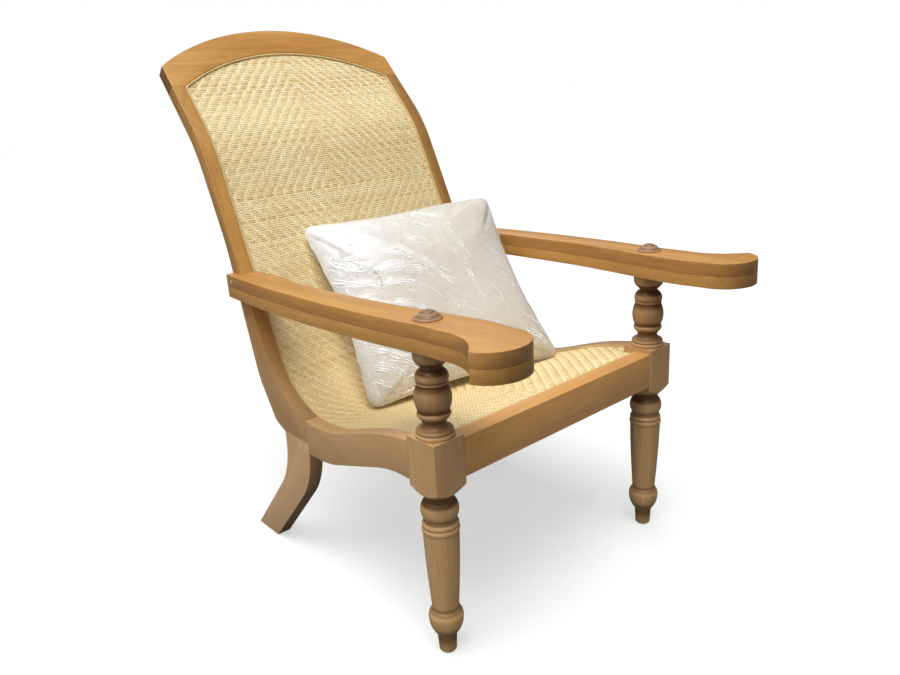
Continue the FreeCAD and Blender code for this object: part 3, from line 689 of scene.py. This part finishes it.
# %% Where the strands run
LONG_PITCH, CROSS_PITCH = 3.88, 4.65
LONG_HALF, CROSS_HALF = 1.86, 2.08  # half the width of a strand
SHEET_DEPTH = 4.9                   # middle of the sheet below the edge of the side frames
WAVE, CROWN = 0.52, 0.36            # how far a strand swings to each side, and half its thickness
REPEAT, LONG_OVER = 6, 2
HEART_ROW = 182                     # the row where the diamond's ribs turn back
CLEAR = 0.6                         # play between cane and wood
BEHIND_BLOCK = 33.5                 # in front of this the cane lies between the legs' square blocks
ARCH_RISE, ARCH_FALL = 25.0, 54.0   # of the crest's arc, above and below the crest's point on the line
random.seed(11)

opening_half = frame_half_width(CREST[0] - RISE[0] * ARCH_FALL, WOOD_FACE)
opening_rise = ARCH_RISE + ARCH_FALL
arch_radius = (opening_half ** 2 + opening_rise ** 2) / (2 * opening_rise)
arch_centre = ARCH_RISE - arch_radius


def arch_reach(off):
    """How far the crest's arc reaches from its centre in one direction, off to the side in the other."""
    return math.sqrt(max((arch_radius - CLEAR) ** 2 - off * off, 0.0))


def side_end(s):
    """How far out the cane reaches at s: the side frames below, the crest's arc above."""
    if s < BEHIND_BLOCK:
        return POST_X - HALF_POST - CLEAR
    y = float(np.interp(s, line[0], line[1][:, 0]))
    reach = frame_half_width(y, WOOD_FACE + CLEAR)
    up = s - crest_at - arch_centre
    if up > arch_radius * 0.5:
        reach = min(reach, arch_reach(up))
    return reach


rows = int(line_length / CROSS_PITCH)
half_count = int(frame_half_width(0.0, WOOD_FACE) / LONG_PITCH)
print("long strands:", 2 * half_count + 1, " cross strands:", rows)

# %% Which strand lies on top
def heart(s):
    """The diamond's middle at s, in mm: it drifts to the right going down to the seat's lowest part."""
    top, low, drift, start = 1190.0, 793.0, 0.08, 6.0
    return start - drift * (top - max(s, low))


def long_is_over(i, j):
    """True where the long strand i lies over the cross strand j."""
    middle = round(heart((j + 0.5) * CROSS_PITCH) / LONG_PITCH)
    return (abs(i - middle) + abs(j - HEART_ROW)) % REPEAT < LONG_OVER


def kept(states, reach=3):
    """The places on a strand that need a point: its ends, each dive and rise, and a few on long floats."""
    chosen = []
    for k, state in enumerate(states):
        edge = k in (0, len(states) - 1) or states[k - 1] != state or states[k + 1] != state
        if edge or k - chosen[-1] >= reach:
            chosen.append(k)
    return chosen


print("points on a strand that dives twice:", kept([True] * 4 + [False] * 2 + [True] * 4 + [False] * 2))

# %% [markdown]
# A strand is a ribbon with six corners in section: two thin edges and a slightly raised skin. The section
# is set square to the path at each of its points, and neighbours are joined by faces. On the way it
# leaves the marks that the finish reads.

# %% Carry the ribbon section along every strand
SECTION = ((-1.0, 0.0), (-0.62, 1.0), (0.62, 1.0), (1.0, 0.0), (0.62, -1.0), (-0.62, -1.0))


def ribbons(name, strands, half, finish):
    """strands: list of (points, across directions, outward directions, heights, tint)."""
    count = len(SECTION)
    corners, faces, edges, tints, lengths, dives = [], [], [], [], [], []
    start = 0
    for points, side, out, height, tint in strands:
        stations = len(points)
        wide, crown = half * MM * (0.93 + 0.09 * tint), CROWN * MM
        dives.append(np.repeat(height < 0, count).astype(float))
        ring = [points + side * (a * wide) + out * (b * crown) for a, b in SECTION]
        corners.append(np.stack(ring, axis=1).reshape(-1, 3))
        edges.append(np.tile([abs(a) > 0.9 for a, _ in SECTION], stations).astype(float))
        tints.append(np.full(count * stations, tint))
        walked = np.r_[0.0, np.cumsum(np.linalg.norm(np.diff(points, axis=0), axis=1))]
        lengths.append(np.repeat(walked, count) + tint * 7.0)
        first = np.arange(stations - 1)[:, None] * count + start
        for a in range(count):
            b = (a + 1) % count
            around = [first + a, first + b, first + count + b, first + count + a]
            faces += np.concatenate(around, axis=1).tolist()
        end = start + count * (stations - 1)
        faces.append([start + k for k in reversed(range(count))])
        faces.append([end + k for k in range(count)])
        start += count * stations
    mesh = bpy.data.meshes.new(name)
    mesh.from_pydata(np.concatenate(corners).tolist(), [], faces)
    piece = added(name, mesh)
    for mark, values in (("edge", edges), ("strand", tints), ("walked", lengths), ("dive", dives)):
        marked(piece, mark, np.concatenate(values))
    editing(piece)
    bpy.ops.mesh.normals_make_consistent(inside=False)
    done_editing()
    smoothed(piece, 75)
    mesh.materials.append(finish)
    report(piece)
    return piece


print("corners of the section:", len(SECTION))

# %% [markdown]
# The path of a strand swings out where it lies on top and in where it dives. Real strands also wander a
# hair to the side and differ in width and tone, and a few long strands are darker. Without that the
# mat would look printed.

# %% Paths of the strands
def outward(s):
    ny, nz = at(s, 2)
    return np.stack([0 * ny, ny, nz], axis=-1)


def upward(s):
    ny, nz = at(s, 2)
    return np.stack([0 * ny, nz, -ny], axis=-1)


def tint():
    """Most strands differ a little, and a few are clearly darker."""
    return random.random() * 0.3 if random.random() < 0.08 else 0.35 + 0.65 * random.random()


DARK_STRANDS = (-50, 25, 43)              # long strands that are darker than the rest
END_RUN, SIDE_RUN = 0.8, 1.2        # a strand ends at least this far past its last crossing


def long_strand(i):
    """Strand i, counted from the middle; those outside the blocks start behind them."""
    x = i * LONG_PITCH
    start = CLEAR if abs(x) < POST_X - HALF_POST - CLEAR else BEHIND_BLOCK + 0.5
    end = min(crest_at + arch_centre + arch_reach(x), line_length - CLEAR)
    inner = [j for j in range(rows + 8)
             if start + END_RUN < (j + 0.5) * CROSS_PITCH < end - END_RUN]
    states = [long_is_over(i, j) for j in inner]
    chosen = kept(states)
    s = np.array([start] + [(inner[k] + 0.5) * CROSS_PITCH for k in chosen] + [end])
    height = np.array([0.0] + [WAVE if states[k] else -WAVE for k in chosen] + [0.0])
    limit = np.array([side_end(value) for value in s]) - LONG_HALF
    x_path = np.clip(x + 0.16 * np.sin(s / 90.0 + i), -limit, limit)
    points = on_surface(x_path, s, SHEET_DEPTH - height)
    across = np.tile([1.0, 0.0, 0.0], (len(s), 1))
    return points, across, outward(s), height, -0.5 if i in DARK_STRANDS else tint()


def swell(states, k):
    """A float rises a little more in its middle."""
    return 0.1 if 0 < k < len(states) - 1 and not states[k - 1] and not states[k + 1] else 0.0


def cross_strand(j):
    """Strand j, counted from the front; None where the arc leaves no room for it."""
    s = (j + 0.5) * CROSS_PITCH
    if s > line_length - 1:
        return None
    reach = side_end(s)
    inner = [i for i in range(-half_count - 2, half_count + 3)
             if abs(i * LONG_PITCH) < reach - SIDE_RUN]
    if len(inner) < 3:
        return None
    states = [long_is_over(i, j) for i in inner]
    chosen = kept(states, 2)
    x = np.array([-reach] + [inner[k] * LONG_PITCH for k in chosen] + [reach])
    height = np.array([0.0] + [-WAVE if states[k] else WAVE + swell(states, k) for k in chosen] + [0.0])
    s_path = s + 0.24 * np.sin(x / 55.0 + j * 7.7)
    points = on_surface(x, s_path, SHEET_DEPTH - height)
    return points, upward(s_path), outward(s_path), height, tint()


print("strands that were pieced in:", len(DARK_STRANDS))

# %% [markdown]
# ## Cane finish
# Split cane is straw yellow and glossy on its skin side. Strands differ from each other and each one
# drifts in tone along its length. The edges of each strand and the places where it dives under another are
# painted darker, as painted shade between the strands, and more so on the seat. Four marks that were
# written with the ribbons carry that: which strand it is, how far along it is, how near to its edge, and
# whether it dives there.

# %% The finish of the strands and of the reeds
def cane(name, light, dark, edge_shade, dive_shade_strength):
    finish = Finish(name, Specular_IOR_Level=0.5, Coat_Weight=0.1, Coat_Roughness=0.3)
    strand, edge, walked, dive = (finish.attribute(mark) for mark in ("strand", "edge", "walked", "dive"))
    run = finish.node("ShaderNodeCombineXYZ", {}, {"X": walked * 9.0, "Y": strand * 40.0})
    drift = finish.cloud(run, 1.6, 3.0)
    patches = finish.cloud(finish.place(), 7.0, 3.0)
    share = (strand * 0.5 + drift * 0.6 + patches * 0.5 - 0.28).between(0.1, 1.0)
    colour = finish.between(share, dark, light)
    seat = 1.0 - finish.part(finish.place(), "Z").between(0.40, 0.68)
    colour = finish.between(seat * 0.35, colour, screen(246, 212, 142))
    # painted shade along the edges of each strand, where it meets its neighbours
    rim_shade = (edge.power(2.2) * (seat * 0.25 + 0.75)).between(0.0, 1.0)
    colour = finish.between(rim_shade, colour, edge_shade)
    # painted shade where a strand dives under another
    dive_shade = dive.between(0.2, 0.9) * (drift * 0.6 + 0.5) * (seat * 0.7 + dive_shade_strength)
    colour = finish.between(dive_shade.between(0.0, 1.0), colour, screen(112, 76, 36))
    fibre = finish.cloud(finish.place(), 1500.0, 2.0)
    return finish.done(colour, 0.42 + drift * 0.2, fibre, 0.05 * MM)


def reed_wood(name):
    finish = Finish(name, Specular_IOR_Level=0.5, Coat_Weight=0.12, Coat_Roughness=0.3)
    spot = finish.place()
    drift, fleck = finish.cloud(spot, 18.0, 3.0), finish.cloud(spot, 260.0, 3.0)
    share = (drift * 0.7 + fleck * 0.5 - 0.1).between(0.1, 1.0)
    colour = finish.between(share, screen(198, 164, 104), screen(240, 214, 156))
    return finish.done(colour, 0.4 + fleck * 0.15, fleck, 0.12 * MM)


# the third colour is the painted shade at the strands' edges; the number is how strong the painted shade
# is where they dive
long_cane = cane("long strands of cane", screen(255, 245, 204), screen(240, 210, 146),
                 screen(200, 164, 104), 0.15)
cross_cane = cane("cross strands of cane", screen(255, 240, 190), screen(230, 196, 128),
                  screen(134, 96, 48), 0.6)
reed_finish = reed_wood("cane reed")
print("cane finishes ready")

# %% [markdown]
# Six pieces keep each mesh light enough to handle: the long strands in three widths, the cross strands in
# three lengths. Together they stand for the one sheet of the CAD model.

# %% Weave the sheet in six pieces
sheets = []
third = half_count // 3 + 1
for label, first, last in (("right", -half_count, -third), ("middle", -third, third),
                           ("left", third, half_count + 1)):
    strands = [long_strand(i) for i in range(first, last)]
    sheets.append(ribbons("cane_long_" + label, strands, LONG_HALF, long_cane))
third = rows // 3 + 1
for label, first in (("seat", 0), ("waist", third), ("top", 2 * third)):
    strands = [cross_strand(j) for j in range(first, min(first + third, rows + 6))]
    strands = [strand for strand in strands if strand]
    sheets.append(ribbons("cane_cross_" + label, strands, CROSS_HALF, cross_cane))
for piece in sheets:
    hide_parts("cane_sheet")
    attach(piece, "chair")

# %% [markdown]
# ## Reeds
# A half-round reed is glued over the cut ends of the cane all round. The CAD solids are square strips in
# the right place. A copy with broad bevels rounds them over.

# %% Round the reeds over
for node in ("reed_right", "reed_left", "reed_front", "reed_top"):
    reed = board(node, reed_finish, 1.25, 50.0)
    reed.name = node + "_bead"
    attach(reed, "chair")
    report(reed)

# %% [markdown]
# ## The cushion
# A square cushion leans on the back. Two squares of cream cloth are sewn together and stuffed, so the
# sides pull in between the corners and the faces swell. A subdivided box never looks like that. The CAD
# form is remeshed evenly and blown up with a cloth simulation: the cloth can't stretch much, so it finds
# its own soft folds at the seam and ears. The work is done with the cushion lying flat at the origin.

# %% Pose of the cushion
CUSHION_CENTRE = Vector((46.2, 46.1, 496.7)) * MM
HALF_CUSHION = 209.0
EAR_X, EAR_Y = 80.0, 40.0           # beyond these the corners give
EAR_AREA = 120.0 * 165.0            # from there to a corner's tip
SLUMP = 14.0                        # the top right corner sinks by this much
EARS = ((-1, 1, 9.0), (1, -1, 6.0))     # top left and bottom right are drawn out
BLOWN_FRAMES = 20
turn_out = Matrix.Rotation(math.radians(-20.6), 4, "Z")
lean_back = Matrix.Rotation(math.radians(90 - 39.36), 4, "X")
roll = Matrix.Rotation(math.radians(5.29), 4, "Z")
CUSHION_POSE = Matrix.Translation(CUSHION_CENTRE) @ turn_out @ lean_back @ roll
print("cushion turned by", [round(math.degrees(value), 1) for value in CUSHION_POSE.to_euler()])

# %% Shape its corners and hold its seam
def into_corner(vertex, across, up):
    """How far a point lies into a corner of the cushion, in square mm; 0 outside it."""
    return (max(0.0, across * vertex.co.x / MM - EAR_X)
            * max(0.0, up * vertex.co.y / MM - EAR_Y))


def blunted(piece, radii):
    """Rounds the four corners and pulls at three; radii at the top (left, right), then below."""
    for vertex in piece.data.vertices:
        x, y = abs(vertex.co.x) / MM, abs(vertex.co.y) / MM
        radius = radii[(0 if vertex.co.y > 0 else 2) + (1 if vertex.co.x > 0 else 0)]
        core = 0.985 * HALF_CUSHION - radius
        if x > core and y > core:
            away = math.hypot(x - core, y - core)
            share = min(1.0, radius / max(away, 1e-6))
            vertex.co.x = math.copysign((core + (x - core) * share) * MM, vertex.co.x)
            vertex.co.y = math.copysign((core + (y - core) * share) * MM, vertex.co.y)
        slumped = into_corner(vertex, 1, 1) / EAR_AREA
        vertex.co.y -= SLUMP * MM * slumped
        for across, up, pull in EARS:
            vertex.co.x += across * pull * MM * into_corner(vertex, across, up) / EAR_AREA


def held_seam(piece, near, far):
    """A vertex group that holds the seam's line, which lies in the middle plane, and lets the faces go."""
    group = piece.vertex_groups.new(name="seam")
    for vertex in piece.data.vertices:
        away = (abs(vertex.co.z) / MM - near) / (far - near)
        weight = 1.0 - min(1.0, max(0.0, away))
        if weight > 0:
            group.add([vertex.index], weight, "REPLACE")


print("corners that are pulled at:", 1 + len(EARS))

# %% Blow a cloth up
def plumped(piece, pressure, cap):
    """Blows a closed cloth up, and lets no point move further than cap."""
    start = points_of(piece.data)
    only(piece)
    bpy.ops.object.modifier_add(type="CLOTH")
    cloth = piece.modifiers[-1]
    cloth.settings.use_pressure = True
    cloth.settings.uniform_pressure_force = pressure
    cloth.settings.effector_weights.gravity = 0
    cloth.settings.vertex_group_mass = "seam"
    cloth.point_cache.frame_end = BLOWN_FRAMES
    for number in range(1, BLOWN_FRAMES + 1):
        bpy.context.scene.frame_set(number)
    shaped = piece.evaluated_get(bpy.context.evaluated_depsgraph_get()).to_mesh()
    move = points_of(shaped) - start
    piece.modifiers.remove(cloth)
    length = np.linalg.norm(move, axis=1)
    move *= (np.minimum(length, cap * MM) / np.maximum(length, 1e-9))[:, None]
    piece.data.vertices.foreach_set("co", (start + move).ravel())
    piece.data.update()
    bpy.context.scene.frame_set(1)
    print(piece.name, "moved at most", round(float(length.max()) / MM, 1), "mm")


print("frames of the simulation:", BLOWN_FRAMES)

# %% Sew and fill it
cushion = added("filled_cushion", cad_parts["cushion"].data.copy())
cushion.data.transform(CUSHION_POSE.inverted())
editing(cushion)
bpy.ops.mesh.remove_doubles(threshold=SAME_POINT * MM)
bpy.ops.mesh.normals_make_consistent(inside=False)
done_editing()
cushion.data.transform(Matrix.Diagonal((0.997, 0.997, 0.86, 1.0)))     # room to swell
only(cushion)
cushion.data.remesh_voxel_size = 5.0 * MM
bpy.ops.object.voxel_remesh()
blunted(cushion, (20.0, 30.0, 20.0, 10.0))
held_seam(cushion, 2.5, 9.0)
report(cushion)
plumped(cushion, 4.0, 12.0)
print("cushion now", [round(value / MM) for value in cushion.dimensions], "mm")

# %% [markdown]
# ## Cloth finish
# The cover is plain woven cloth in cream. Its threads are about a millimetre apart, too fine to
# see as such from across a room, so they are a bump in the cushion's own plane, with slubs: threads that
# are thicker in places. The colour only drifts a little, and a warm painted shade darkens the lower right.

# %% Linen
def linen(name):
    finish = Finish(name, Specular_IOR_Level=0.25, Sheen_Weight=0.25, Sheen_Roughness=0.5)
    pose = CUSHION_POSE.to_euler()
    flat = finish.place(turn=tuple(pose), centre=tuple(CUSHION_CENTRE))
    threads = {"Vector": flat, "Scale": 290.0, "Distortion": 1.2, "Detail": 2.0}
    warp, weft = (finish.node("ShaderNodeTexWave", {"wave_type": "BANDS", "bands_direction": way},
                              threads, "Fac") for way in "XY")
    slub = finish.cloud(finish.place(turn=tuple(pose), scale=(0.12, 1, 1)), 420.0, 3.0)
    drift = finish.cloud(flat, 9.0, 3.0)
    share = (drift * 0.8 + slub * 0.5 - 0.2).between(0.1, 0.95)
    colour = finish.between(share, screen(218, 211, 196), screen(242, 237, 226))
    right, up, depth = (finish.part(flat, axis) for axis in "XYZ")
    # painted shade: warmer and darker towards the lower right of the cushion
    colour = finish.between((right - up).between(0.10, 0.42) * 0.55, colour, screen(196, 182, 150))
    seam = depth.size().between(0.002, 0.0034) - depth.size().between(0.0034, 0.006)
    colour = finish.between(seam * 0.3, colour, screen(170, 160, 138))
    relief = warp * 0.5 + weft * 0.5 + slub * 0.9 - seam
    return finish.done(colour, 0.82 + slub * 0.12, relief, 0.5 * MM)


cover = linen("cream linen")
print("cover:", cover.name)

# %% [markdown]
# Where the two squares are sewn together, the seam stands up as a low ridge. The mesh is subdivided once
# before that, so that ridge and swell stay smooth. Then the cushion goes back to its place on the chair.

# %% Subdivide, dress and place the cushion
modified(cushion, "SUBSURF", levels=1, render_levels=1)
bpy.ops.object.shade_smooth()
SEAM_HALF, SEAM_HEIGHT, SEAM_FROM = 3.2, 1.8, 150.0     # the ridge where the two squares are sewn
outs = [Vector((vertex.normal.x, vertex.normal.y, 0)) for vertex in cushion.data.vertices]
for vertex, out in zip(cushion.data.vertices, outs):
    ridge = 1.0 - abs(vertex.co.z) / (SEAM_HALF * MM)
    if ridge > 0 and max(abs(vertex.co.x), abs(vertex.co.y)) > SEAM_FROM * MM:
        vertex.co += out.normalized() * (SEAM_HEIGHT * MM * ridge)
cushion.data.transform(CUSHION_POSE)
coated(cushion, cover)
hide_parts("cushion")
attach(cushion, "cushion")
report(cushion)

# %% [markdown]
# ## The clear bag
# The cushion is still in its bag of thin clear film. Film has almost no colour: it is seen by its
# creases, which catch the light as white streaks, and part of that white is painted glint that emits
# light.
# The bag starts as a copy of the cushion, a little larger. Its main folds are laid one by one where the
# picture shows them, and shorter chance folds are strewn between, densest on the left where the bag is
# gathered. Each fold raises the film a little and leaves two marks, its strength and how far across it a
# point lies. Glass would cost much light and time, so the film is a glossy skin that lets nearly
# everything through, and less on the ridge of a crease.

# %% Where the folds run
FOLDS = (      # start, end (shares of the half width and height), bow, band in mm, strength
    (0.28, 0.62, 0.4, 0.1, 0.05, 9, 1), (0.37, 0.24, 0.44, -0.4, -0.1, 10, 0.8),
    (0.1, 0.5, 0.3, 0.16, 0.08, 7, 0.5), (-0.36, 0.5, 0.06, 0.02, 0.06, 12, 1),
    (-0.46, 0.46, -0.1, 0.16, 0.1, 9, 0.7), (-0.04, 0.12, 0.16, -0.14, 0.05, 9, 0.8),
    (-0.66, 0.22, -0.02, 0.02, 0.16, 18, 1), (-0.64, 0.08, -0.1, -0.12, 0.16, 12, 0.9),
    (0.06, 0.88, 0.34, 0.66, 0.05, 12, 0.9), (-0.24, 0.86, 0.1, 0.72, 0.1, 8, 0.5),
    (-0.96, 0.62, -0.62, 0.28, -0.12, 12, 0.9), (-0.97, 0.4, -0.6, 0.14, -0.12, 12, 0.9),
    (-0.97, 0.18, -0.66, 0.02, -0.1, 10, 0.8), (-0.9, 0.9, -0.52, 0.56, -0.1, 12, 0.8),
    (-0.8, -0.06, -0.34, -0.4, 0.1, 18, 1), (-0.84, -0.26, -0.44, -0.6, 0.08, 18, 1),
    (-0.9, -0.46, -0.54, -0.74, 0.08, 14, 1), (-0.56, -0.1, -0.2, -0.36, 0.12, 14, 0.9),
    (-0.94, -0.84, -0.1, -0.85, 0.02, 5, 0.9), (-0.9, -0.93, -0.4, -0.93, 0.02, 5, 0.8),
    (-0.92, -0.62, -0.6, -0.9, 0.1, 14, 1), (-0.8, -0.6, -0.42, -0.84, 0.1, 12, 0.9),
    (-0.96, -0.76, -0.7, -0.96, 0.06, 8, 1), (-0.66, -0.52, -0.3, -0.74, -0.1, 10, 0.8),
    (-0.46, -0.46, -0.1, -0.66, 0.1, 12, 0.7), (0.72, -0.52, 0.98, -0.8, 0.12, 14, 1),
    (0.66, -0.7, 0.94, -0.92, 0.1, 12, 1), (0.84, -0.34, 0.97, -0.6, 0.08, 9, 0.9),
    (0.56, 0.95, 0.92, 0.92, 0.05, 6, 0.8), (0.92, 0.78, 0.95, 0.3, 0.05, 7, 0.8),
    (0.92, 0.24, 0.96, -0.2, -0.05, 7, 0.7), (-0.3, 0.96, 0.5, 0.97, 0.02, 5, 0.9),
    (-0.1, -0.2, 0.3, -0.5, 0.12, 9, 0.45), (0.46, -0.1, 0.62, -0.55, 0.06, 8, 0.45),
)
random.seed(5)


def chance_folds(count):
    """More folds of the same kind: short, slanting down to the right, and denser on the left."""
    made = []
    for _ in range(count):
        u, v = -0.95 + 1.85 * random.random() ** 1.6, random.uniform(-0.92, 0.92)
        slope, length = math.radians(random.gauss(-44, 18)), random.uniform(0.08, 0.34)
        made.append((u, v, u + length * math.cos(slope), v + length * math.sin(slope),
                     random.uniform(-0.12, 0.12), random.uniform(4, 10), random.uniform(0.3, 0.7)))
    return made


print("folds laid by hand:", len(FOLDS))

# %% Lay the folds over the bag
def folded(u, v, folds):
    """For places u, v: how strongly a fold lies there, and how far across it in mm."""
    mask, across = np.zeros(len(u)), np.zeros(len(u))
    for index, (u0, v0, u1, v1, bow, band, strength) in enumerate(folds):
        run = np.array([u1 - u0, v1 - v0])
        length = np.linalg.norm(run)
        run /= length
        along = ((u - u0) * run[0] + (v - v0) * run[1]) / length
        bend = bow * length * 4 * along * (1 - along)
        away = ((v - v0) * run[0] - (u - u0) * run[1] - bend) * HALF_CUSHION
        taper = np.clip(np.minimum(along, 1 - along) * 4.0, 0.0, 1.0)
        here = strength * taper * np.clip(1.0 - np.abs(away) / band, 0.0, 1.0)
        stronger = here > mask
        mask[stronger] = here[stronger]
        across[stronger] = away[stronger] + 1.7 * index     # so that no two folds look alike
    return mask, across


SLACK, CREASE = 0.8, 1.6            # the film's distance from the cover, and the height of its folds
bag = added("clear_bag", cushion.data.copy())
bag.data.transform(CUSHION_POSE.inverted())
places = points_of(bag.data)
normals = np.array([tuple(vertex.normal) for vertex in bag.data.vertices])
u, v = places[:, 0] / (HALF_CUSHION * MM), places[:, 1] / (HALF_CUSHION * MM)
front = places[:, 2] > 0
mask, across = folded(np.where(front, u, -u), v, FOLDS + tuple(chance_folds(90)))
for mark, values in (("fold", mask), ("across", across), ("side", u), ("height", v)):
    marked(bag, mark, values)
lift = SLACK + CREASE * mask * (0.65 + 0.35 * np.cos(across * 0.9))
places += normals * (lift * MM)[:, None]
bag.data.vertices.foreach_set("co", places.ravel())
bag.data.transform(CUSHION_POSE)
bag.data.update()
report(bag)

# %% [markdown]
# Beside each crease the film shows a painted white glint that emits light, a painted grey shade and a
# wider slope, and all three follow from how far across the fold a point lies. Elsewhere the film is hardly
# there, and whiter and less clear towards the upper left, which is painted sheen.

# %% Film finish
def film(name):
    finish = Finish(name, Roughness=0.16, Specular_IOR_Level=0.8, Emission_Strength=0.5)
    fold, across, side, height = (finish.attribute(mark) for mark in ("fold", "across", "side", "height"))
    spot = finish.place()
    wander = finish.cloud(spot, 40.0, 3.0)
    fade = 0.12 + finish.cloud(spot, 34.0, 4.0, 0.6, 0.8).between(0.40, 0.60) * 0.88
    turns = across * 0.19 + wander * 2.8
    line = (1.0 - turns.off_line().between(0.02, 0.18)) * fade
    shade = (1.0 - (turns + 0.28).off_line().between(0.0, 0.24)) * fade
    wide = (1.0 - (turns * 0.37).off_line().between(0.0, 0.3)) * fade
    # painted sheen: the film is made whiter and less clear towards the upper left
    left_sheen = (side * -0.62 + height * 0.55).between(0.0, 1.0)
    slanting = finish.place(turn=(0, 0, math.radians(40)), scale=(1, 0.3, 1))
    loose = finish.cloud(slanting, 40.0, 4.0, 0.6, 1.5)
    raised = fold.between(0.0, 0.42)
    # painted grey shade beside each crease
    finish.feed("Base Color", finish.between(raised * shade * 0.8, WHITE, screen(176, 172, 164)))
    # painted glint: the line on each crease emits white light, though the film is no lamp
    finish.feed("Emission Color", finish.between(raised * line, BLACK, WHITE))
    finish.feed("Alpha", (0.12 + left_sheen * 0.6 + loose.between(0.5, 0.75) * 0.14 + fold * 0.25
                          + raised * line * 0.55 + raised * shade * 0.3).between(0.0, 1.0))
    finish.bump(raised * (line * 0.3 + wide * 0.5) + loose * 1.6, 0.9 * MM)
    return finish.material


coated(bag, film("clear film"))
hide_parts("cushion_bag")
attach(bag, "cushion")
print("film:", bag.data.materials[0].name)

# %% [markdown]
# ## Floor
# The picture is a studio one: white floor, white wall, and only a soft grey shadow. The floor is a large
# sheet. It adds some white of its own for the camera, also through the film, so that it turns pure white
# where the light falls. To all other rays it is a darker grey, so that it throws little light up.

# %% Lay the floor
bpy.ops.object.select_all(action="DESELECT")
bpy.ops.mesh.primitive_grid_add(x_subdivisions=8, y_subdivisions=8, size=24.0,
                                location=(0, 0, -0.5 * MM))
floor = named("studio_floor")
paper = Finish("white paper", Roughness=0.9, Specular_IOR_Level=0.1)
camera_sees, through_film = (paper.node("ShaderNodeLightPath", {}, {}, kind)
                             for kind in ("Is Camera Ray", "Is Transmission Ray"))
paper.feed("Base Color", paper.between(camera_sees, grey(0.17), grey(0.48)))
paper.shader.inputs["Emission Color"].default_value = WHITE
paper.feed("Emission Strength", (camera_sees + through_film) * 0.53)
floor.data.materials.append(paper.material)

# %% [markdown]
# ## Light
# A pale world gives the even light of a white room: white to the camera, and weak to everything else.
# Three wide soft lamps give form. The strong one hangs overhead, slightly to the left, so that tops are
# bright and the faces towards the camera darker, as in the picture; weak ones stand in front and behind.
# Two small lamps add hardly any light, but they show as glints in gloss.

# %% World and lamps
world = bpy.data.worlds.new("white room")
bpy.context.scene.world = world
world.use_nodes = True
sky = world.node_tree.nodes["Background"]
seen = world.node_tree.nodes.new("ShaderNodeLightPath")
strength = world.node_tree.nodes.new("ShaderNodeMapRange")
strength.inputs["To Min"].default_value, strength.inputs["To Max"].default_value = 0.12, 1.0
world.node_tree.links.new(seen.outputs["Is Camera Ray"], strength.inputs["Value"])
world.node_tree.links.new(strength.outputs["Result"], sky.inputs["Strength"])
sky.inputs["Color"].default_value = WHITE


def lamp(name, kind, power, place, aim, **settings):
    """A lamp at place that shines towards aim."""
    bpy.ops.object.light_add(type=kind, location=place)
    made = bpy.context.active_object
    made.name, made.data.energy = name, power
    for setting, value in settings.items():
        setattr(made.data, setting, value)
    made.rotation_mode = "QUATERNION"
    made.rotation_quaternion = (Vector(place) - Vector(aim)).to_track_quat("Z", "Y")


def soft_lamp(name, power, place, spread):
    """A far lamp as wide as spread in degrees, so that the whole floor gets the same light."""
    lamp(name, "SUN", power, place, (0, 0, 0), angle=math.radians(spread))


soft_lamp("overhead soft lamp", 2.8, (-0.66, -0.2, 2.6), 46.0)
soft_lamp("front soft lamp", 0.62, (-0.35, -0.6, 0.72), 60.0)
soft_lamp("back soft lamp", 0.6, (0.4, 0.9, 0.7), 60.0)
lamp("high glint", "AREA", 5.0, (-0.7, -1.5, 2.4), (0.0, 0.0, 0.5), shape="DISK", size=0.4)
lamp("low window", "AREA", 4.5, (-2.0, -0.1, 0.55), (0.0, 0.0, 0.3), shape="DISK", size=0.9)
print("lamps ready")

# %% [markdown]
# ## Camera
# The camera stands where the picture was taken from: in front of the sitter's right arm, at eye
# height of a seated person, held very slightly turned.

# %% Camera
SIDE, HEIGHT, TWIST = -0.7221, 0.3179, -0.0533      # round the chair, above it and round the lens
back = Vector((math.sin(SIDE) * math.cos(HEIGHT), -math.cos(SIDE) * math.cos(HEIGHT),
               math.sin(HEIGHT)))
level = Vector((0, 0, 1)).cross(back).normalized()
upright = back.cross(level)
right = math.cos(TWIST) * level + math.sin(TWIST) * upright
up = math.cos(TWIST) * upright - math.sin(TWIST) * level
bpy.ops.object.camera_add(location=(-1.02801, -1.22305, 0.94134))
camera = bpy.context.active_object
camera.name = "studio camera"
camera.rotation_mode = "QUATERNION"
camera.rotation_quaternion = Matrix((right, up, back)).transposed().to_quaternion()
camera.data.lens, camera.data.sensor_width = 32.757, 36.0
bpy.context.scene.camera = camera
bpy.context.scene.view_settings.view_transform = "Standard"
print("camera at", [round(value, 3) for value in camera.location])
